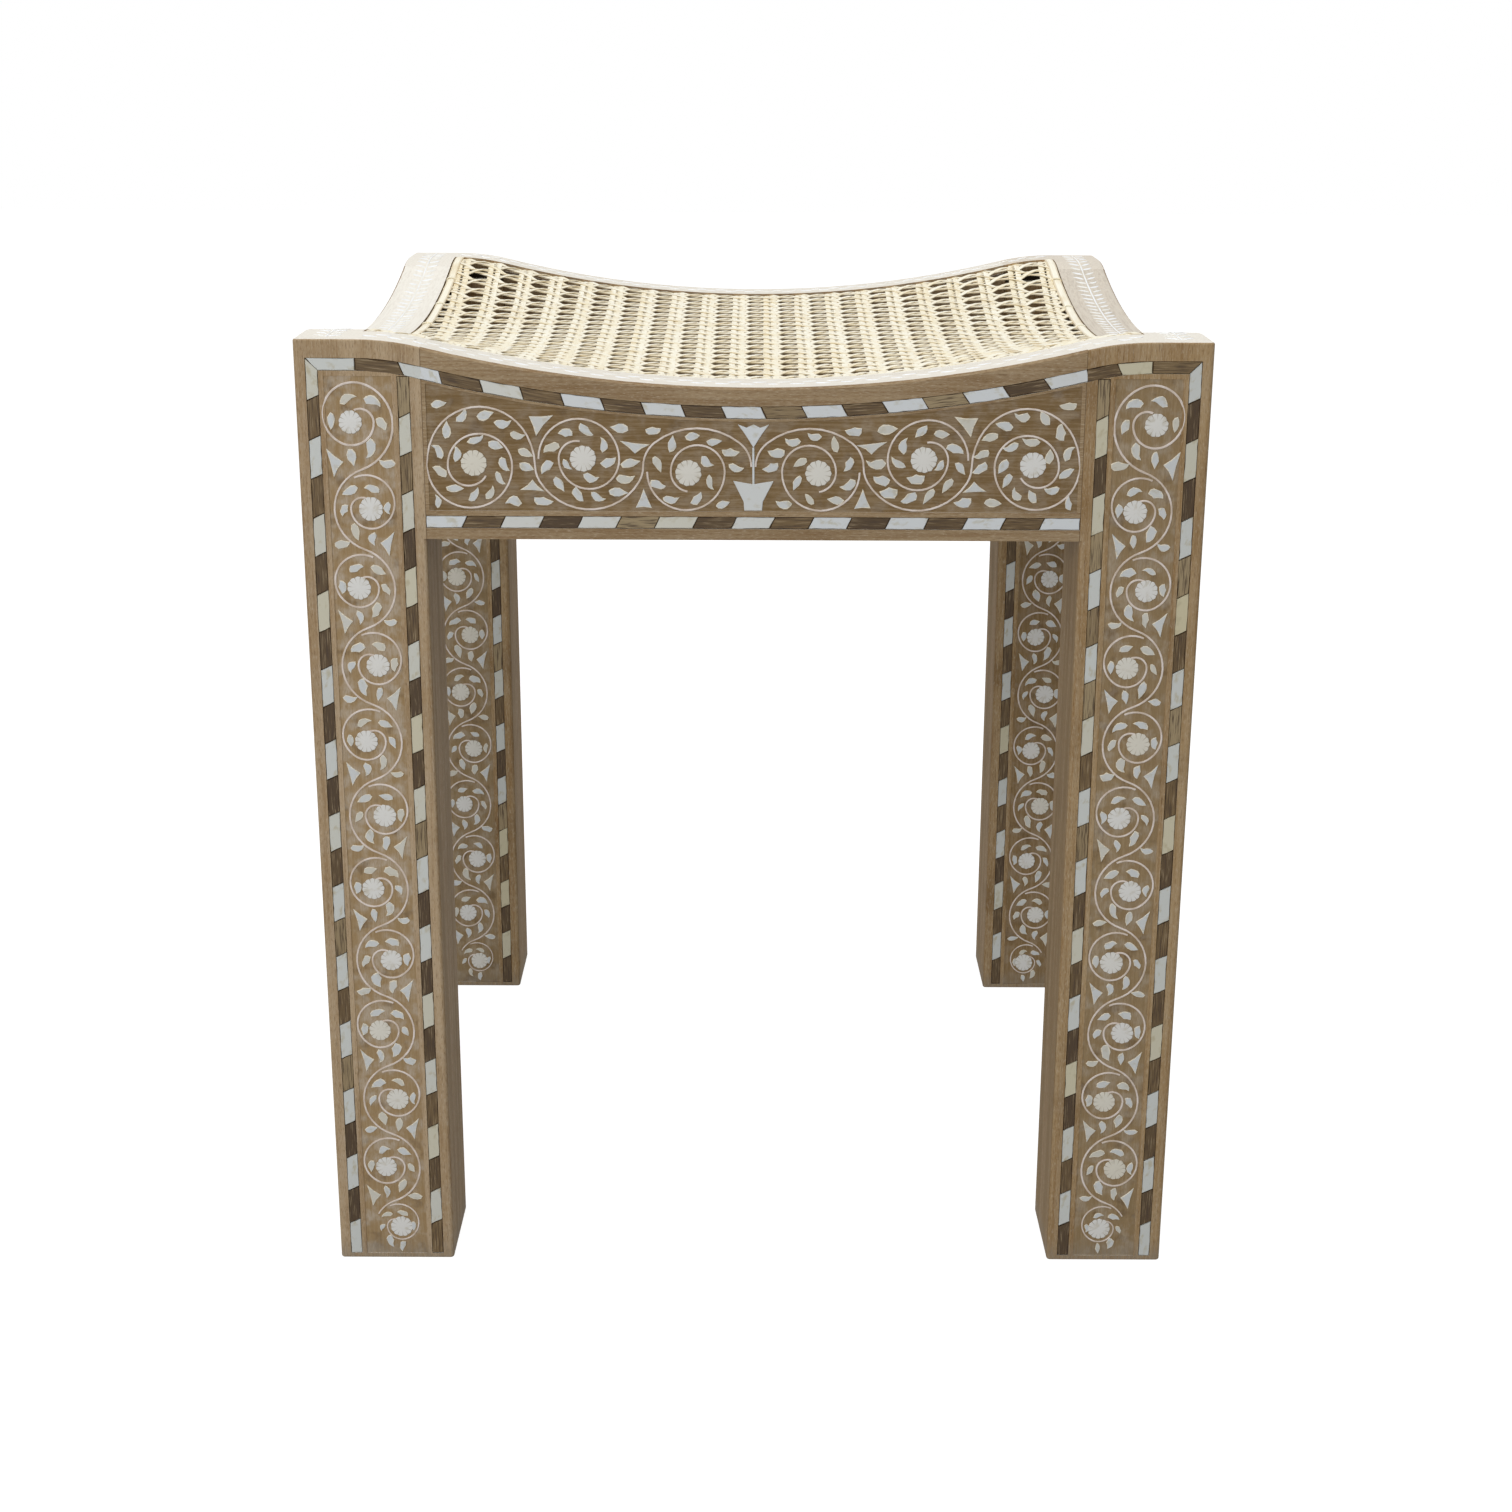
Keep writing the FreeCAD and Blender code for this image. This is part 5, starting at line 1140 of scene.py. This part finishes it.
def cut_bone(name, cool, warm, stain, edge=0.78):
    """Sawn and sanded camel bone: off-white, each piece its own shade, a few yellowed, with fine fibres.
    Cream filler shows along the edge of the small pieces."""
    material, tree, shader = finish_named(name, 0.36, 0.5, 1.54)
    fibres, tone = mapped_grain(tree, 3.0, 0.8)
    clouds, tone = mapped_grain(tree, 5.0, 3.5, 4.0)
    colour = coat(tree, cool, warm, (tone, 0.45, 1.0), fade="LINEAR")
    colour = coat(tree, colour, stain, (clouds, 0.52, 0.74, 0.0, 0.7))
    rim = add(tree, "ShaderNodeAttribute", output="Fac", attribute_name="rim")
    broken = add(tree, MATHS, {0: fibres, 1: 0.8, 2: rim}, operation="MULTIPLY_ADD")
    colour = coat(tree, colour, "#ece3cd", (broken, edge, edge + 0.12, 0.0, 0.9), fade="LINEAR")
    surface(tree, shader, colour, fibres, 0.2, 0.1 * MM)
    return material


def petalled_bone():
    """The same bone as a round flower: short saw cuts run in from its rim and are drawn dark brown."""
    material = cut_bone("engraved_camel_bone", "#dfdeda", "#dad5c6", "#c3bcab", 1.6)
    tree = material.node_tree
    base = tree.nodes["Principled BSDF"].inputs["Base Color"]
    plan = add(tree, "ShaderNodeUVMap", uv_map="grain")
    x, y, z = add(tree, "ShaderNodeSeparateXYZ", {0: plan}).node.outputs
    angle = add(tree, MATHS, {0: y, 1: x}, operation="ARCTAN2")
    turns = add(tree, MATHS, {0: angle, 1: float(ROSETTE_PETALS)}, operation="MULTIPLY")
    wave = add(tree, MATHS, {0: turns}, operation="COSINE")
    radius = add(tree, VECTOR_MATHS, {0: plan}, "Value", operation="LENGTH")
    outer = (radius, 0.42 * ROSETTE_RADIUS, 0.95 * ROSETTE_RADIUS)
    bone = base.links[0].from_socket
    cut = coat(tree, bone, "#8b7c62", (wave, 0.84, 1.0, 0.0, 0.95), outer, fade="LINEAR")
    tree.links.new(cut, base)
    return material


def dark_tile_wood():
    """Sheesham offcuts, sawn along the grain: from dark brown to a dusty tan, with coarse open pores."""
    material, tree, shader = finish_named("sawn_sheesham_wood", 0.55, 0.4, 1.45)
    streaks, tone = mapped_grain(tree, 11.0, 0.7, 4.0)
    colour = "#46351f"
    for paint, share in (("#705b3c", (tone, 0.15, 0.8)), ("#9c8a6a", (tone, 0.80, 0.90)),
                         ("#3d2d1e", (streaks, 0.50, 0.36, 0.0, 0.85)),
                         ("#a08d70", (streaks, 0.56, 0.70, 0.0, 0.7))):
        colour = coat(tree, colour, paint, share, fade="LINEAR")
    surface(tree, shader, colour, streaks, 0.5, 0.2 * MM)
    return material


def vine_paste():
    """Lac and chalk paste pressed into a scribed line: pale pinkish cream, matt, a little broken."""
    material, tree, shader = finish_named("chalk_paste", 0.6, 0.35)
    place = add(tree, "ShaderNodeTexCoord", output="Object")
    worn = add(tree, NOISE, {"Vector": place, "Scale": 1 / (6 * MM), "Detail": 3.0})
    colour = coat(tree, "#cfbfaf", "#e8ddd5", (worn, 0.35, 0.62), fade="LINEAR")
    tree.links.new(colour, shader.inputs["Base Color"])
    return material


def peeled_cane():
    """Peeled rattan cane, glossy side up: pale cream, each strand its own tone. It has fine lengthwise
    fibres, and a tan painted along its edges as the shadow in the slits between the strands."""
    material, tree, shader = finish_named("peeled_rattan_cane", 0.42, 0.5, 1.5)
    fibres, tone = mapped_grain(tree, 30.0, 0.5, 2.0)
    patches, tone = mapped_grain(tree, 26.0, 12.0, 1.0)
    plan = add(tree, "ShaderNodeUVMap", uv_map="grain")
    x, y, z = add(tree, "ShaderNodeSeparateXYZ", {0: plan}).node.outputs
    across = add(tree, MATHS, {0: y}, operation="ABSOLUTE")
    colour = "#faf5e1"
    # The tan along each strand's edges is painted shadow for the dark slits between the strands.
    for paint, share in (("#f3e8c8", (tone, 0.3, 1.0)), ("#e2cfa4", (patches, 0.52, 0.72, 0.0, 0.6)),
                         ("#b9995f", (across, 0.44 * STRAND_WIDTH, 0.52 * STRAND_WIDTH, 0.0, 0.45)),
                         ("#c4a876", (fibres, 0.42, 0.28, 0.0, 0.3))):
        colour = coat(tree, colour, paint, share, fade="LINEAR")
    surface(tree, shader, colour, fibres, 0.25, 0.1 * MM)
    return material


BONE = cut_bone("sanded_camel_bone", "#d5d9db", "#cfcdc0", "#bcb69f", 1.6)
LEG_BONE = cut_bone("yellowed_camel_bone", "#cacdc9", "#c8bf9f", "#afa483", 1.5)
LEAF_BONE = cut_bone("scraped_camel_bone", "#cccfcf", "#ccc8ba", "#bab39f", 1.28)
# The rim's bone lies on the seat's top and is drawn near white and a little blue: partly a lime wash,
# partly painted sheen of the light from above.
RIM_BONE = cut_bone("limed_sheen_lit_camel_bone", "#f6f8fa", "#f0efe8", "#e0dace", 1.6)
ROSETTE_BONE = petalled_bone()
DARK_TILE = dark_tile_wood()
VINE = vine_paste()
CANE = peeled_cane()
LEG_WOOD = ("#9c7e56", "#ad9169")
# Painted light: paler tans for the front left leg, which is lit more from the left.
LEFT_LIT_LEG_WOOD = ("#a68b68", "#baa282")
RAIL_WOOD = ("#917858", "#a38b6a")
# Each wood: name, axis of its grain, its two tans, its scrolls' ground, haze, lime and sheen, stains, and
# its members
# Painted light: the front left leg's paler tans and stronger haze, and the left apron's fuller lime and
# sheen against the right apron's, stand for brighter light and sheen on the left.
for *wood, members in (
        ("hazy_limed_upright_hardwood", 2, LEFT_LIT_LEG_WOOD, "#9c8159", 0.42, 0.95, 0.2, ["front_left_leg"]),
        ("limed_upright_hardwood", 2, LEG_WOOD, "#8f7957", 0.25, 0.95, 0.5,
         ["front_right_leg", "back_left_leg"]),
        ("tan_limed_upright_hardwood", 2, LEG_WOOD, "#836b48", 0.15, 0.7, 0.6, ["back_right_leg"]),
        ("limed_rail_hardwood", 0, RAIL_WOOD, "#78603c", 0.16, 0.9, 0.2, ["front_apron", "back_apron"]),
        ("bleached_side_hardwood", 1, RAIL_WOOD, "#7a6447", 0.4, 1.0, 0.2, ["left_apron"]),
        ("limed_side_hardwood", 1, RAIL_WOOD, "#7a6447", 0.3, 0.6, 0.2, ["right_apron"])):
    finish = limed_wood_with_painted_light(*wood)
    for name in members:
        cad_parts[name].data.materials.clear()
        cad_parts[name].data.materials.append(finish)

# Masters
leg_field = LEG_FIELD_TOP - FOOT_MARGIN
LEG_PITCH = leg_field / round(leg_field / (LEG_PITCH_SHARE * (LEG_WIDTH - 2 * FIELD_INSET)))
APRON_PITCH = 2 * (APRON_X - END_MARGIN) / APRON_UNITS
TILE = tile_master()
LEAVES = leaf_masters(LEAF_LENGTH, LEAF_WIDTH)
RIM_LEAVES = leaf_masters(RIM_LEAF_LENGTH, RIM_LEAF_WIDTH)
dash = [(x * RIM_PAIR_PITCH / 2, y * RIM_DASH_WIDTH / 2) for x, y in ((-1, -1), (1, -1), (1, 1), (-1, 1))]
RIM_DASH = token("dash_master", dash, FIELD_DEPTH, RIM_DASH_BEVEL)
ROSETTE = rosette_master()
spiral_start = tuple(share * LEG_PITCH for share in SPIRAL_START_SHARES)
bend, *spiral_turns = scaled_turns((TOP_BEND_SHARES,) + SPIRAL_TURNS_SHARES, LEG_PITCH)
LEG_SPIRAL = wire("spiral_master", spiral_start, SPIRAL_HEADING, spiral_turns)
swing = STEM_SWING_SHARE * LEG_PITCH
LEG_TOP_SPIRAL = wire("top_spiral_master", (-swing, 0), 90, [bend] + spiral_turns)
stem_offset = ((LEG_PITCH / 2) ** 2 - swing ** 2) / (2 * swing)
stem_radius = stem_offset + swing
stem_sweep = 2 * math.degrees(math.acos(stem_offset / stem_radius))
stem_start, stem_heading = (0, LEG_PITCH / 2), 270 - stem_sweep / 2
LEG_STEM = wire("stem_master", stem_start, stem_heading, [(stem_radius, stem_sweep)])
LEG_STEM_END = wire("stem_end_master", stem_start, stem_heading,
                    [(stem_radius, stem_sweep * STEM_END_SHARE)])
LEG_HALF_STEM = wire("half_stem_master", (-swing, 0), 270, [(stem_radius, stem_sweep / 2)])
half_unit = APRON_PITCH / 2 - WIRE_WIDTH / 2 / APRON_UNITS
main_stem = []
for rise, springing, way in STEM_ARCHES_SHARES:
    main_stem += flat_arch(half_unit, rise * APRON_PITCH, springing * APRON_PITCH, way)
outer_turns, middle_turns, inner_turns = (
    scaled_turns(shares, APRON_PITCH)
    for shares in (OUTER_SPIRAL_SHARES, MIDDLE_SPIRAL_SHARES, INNER_SPIRAL_SHARES))
middle_start, inner_start = (share * APRON_PITCH for share in STRAND_START_SHARES)
APRON_STRANDS = [
    wire("long_strand_master", (-WIRE_WIDTH, 0), 90, main_stem + outer_turns),
    wire("middle_strand_master", (-2 * APRON_PITCH + WIRE_WIDTH, middle_start), 90, middle_turns),
    wire("inner_strand_master", (-APRON_PITCH + WIRE_WIDTH, inner_start), 270, inner_turns),
]
BLANKS = {}

# The stool's pieces
for side_y, row_name in ((-1, "front"), (1, "back")):
    for side_x, column_name in ((-1, "left"), (1, "right")):
        dress_leg("%s_%s" % (row_name, column_name), side_x, side_y)
dress_apron("front", Vector((0, -1, 0)), APRON_X, SAG_X)
dress_apron("back", Vector((0, 1, 0)), APRON_X, SAG_X)
dress_apron("left", Vector((-1, 0, 0)), APRON_Y, SAG_Y)
dress_apron("right", Vector((1, 0, 0)), APRON_Y, SAG_Y)
gather("cane_upright_strands", weave_uprights(), CANE, ["cane_panel"], smooth=50)
gather("cane_cross_strands", weave_crossings(), CANE, smooth=50)
gather("cane_diagonal_strands", weave_diagonals(), CANE, smooth=50)
gather("cane_edge_strips", weave_binders(), CANE, ["cane_binders"], smooth=50)
for master in [TILE, RIM_DASH, ROSETTE, LEG_SPIRAL, LEG_TOP_SPIRAL, LEG_STEM, LEG_STEM_END, LEG_HALF_STEM,
               *LEAVES, *RIM_LEAVES, *APRON_STRANDS]:
    bpy.data.objects.remove(master)
for blank in BLANKS.values():
    bpy.data.objects.remove(blank)

# Floor, light and camera

FLOOR_SIZE = 14
FLOOR_GLOW = 0.92
SKY_STRENGTH = 0.38


def background_rays(tree):
    """1 for the rays that meet the background straight, by reflection or through glass."""
    path = add(tree, "ShaderNodeLightPath").node.outputs
    seen = path["Is Camera Ray"]
    for kind in ("Is Glossy Ray", "Is Transmission Ray"):
        seen = add(tree, MATHS, {0: seen, 1: path[kind]}, operation="MAXIMUM")
    return seen


def white_floor():
    """Seamless white paper: the camera sees it white, with only the stool's soft shadow on it."""
    material, tree, shader = finish_named("white_paper_floor", 0.9, 0.1)
    shader.inputs["Base Color"].default_value = hex_colour("#959595")
    strength = add(tree, MATHS, {0: background_rays(tree), 1: FLOOR_GLOW}, operation="MULTIPLY")
    shader.inputs["Emission Color"].default_value = (1, 1, 1, 1)
    tree.links.new(strength, shader.inputs["Emission Strength"])
    return material


deselect()
bpy.ops.mesh.primitive_plane_add(size=FLOOR_SIZE, location=(0, 0, 0))
floor = just_added("floor")
floor.data.materials.append(white_floor())

world = bpy.data.worlds.new("studio")
bpy.context.scene.world = world
world.use_nodes = True
sky = world.node_tree
background = sky.nodes["Background"]
strength = add(sky, RANGE, {0: background_rays(sky), 3: SKY_STRENGTH, 4: 1.0})
sky.links.new(strength, background.inputs["Strength"])
background.inputs["Color"].default_value = (1, 1, 1, 1)


def soft_box(name, place, target, size, power):
    """A wide soft lamp aimed at the stool."""
    lamp = bpy.data.lights.new(name, "AREA")
    lamp.shape = "SQUARE"
    lamp.size = size
    lamp.energy = power
    holder = bpy.data.objects.new(name, lamp)
    bpy.context.scene.collection.objects.link(holder)
    holder.location = place
    holder.rotation_euler = (Vector(target) - Vector(place)).to_track_quat("-Z", "Y").to_euler()
    return holder


soft_box("overhead_soft_box", (0.0, 0.25, 2.2), (0, 0, 0.45), 1.8, 20.5)
soft_box("front_soft_box", (-0.9, -2.3, 1.2), (0, 0, 0.3), 1.8, 28)

# The photograph's viewpoint: place in metres, focal length in pixels of its frame, angles in degrees
FRAME_PIXELS = 1512
FOCAL_PIXELS = 2363.47
CAMERA_PLACE = (0.00029, -1.37865, 0.65295)
CAMERA_YAW = 0.08
CAMERA_PITCH = 17.39
CAMERA_ROLL = 0.25
yaw, pitch, roll = (math.radians(angle) for angle in (CAMERA_YAW, CAMERA_PITCH, CAMERA_ROLL))
ahead = Vector((math.sin(yaw) * math.cos(pitch), math.cos(yaw) * math.cos(pitch), -math.sin(pitch)))
level_right = Vector((math.cos(yaw), -math.sin(yaw), 0))
level_up = level_right.cross(ahead)
right = math.cos(roll) * level_right + math.sin(roll) * level_up
up = -math.sin(roll) * level_right + math.cos(roll) * level_up
camera_data = bpy.data.cameras.new("camera")
camera_data.lens = camera_data.sensor_width * FOCAL_PIXELS / FRAME_PIXELS
camera_data.clip_start = 0.05
camera = bpy.data.objects.new("camera", camera_data)
bpy.context.scene.collection.objects.link(camera)
camera.matrix_world = placed(CAMERA_PLACE, right, up, -ahead)
bpy.context.scene.camera = camera
bpy.context.scene.view_settings.view_transform = "Standard"
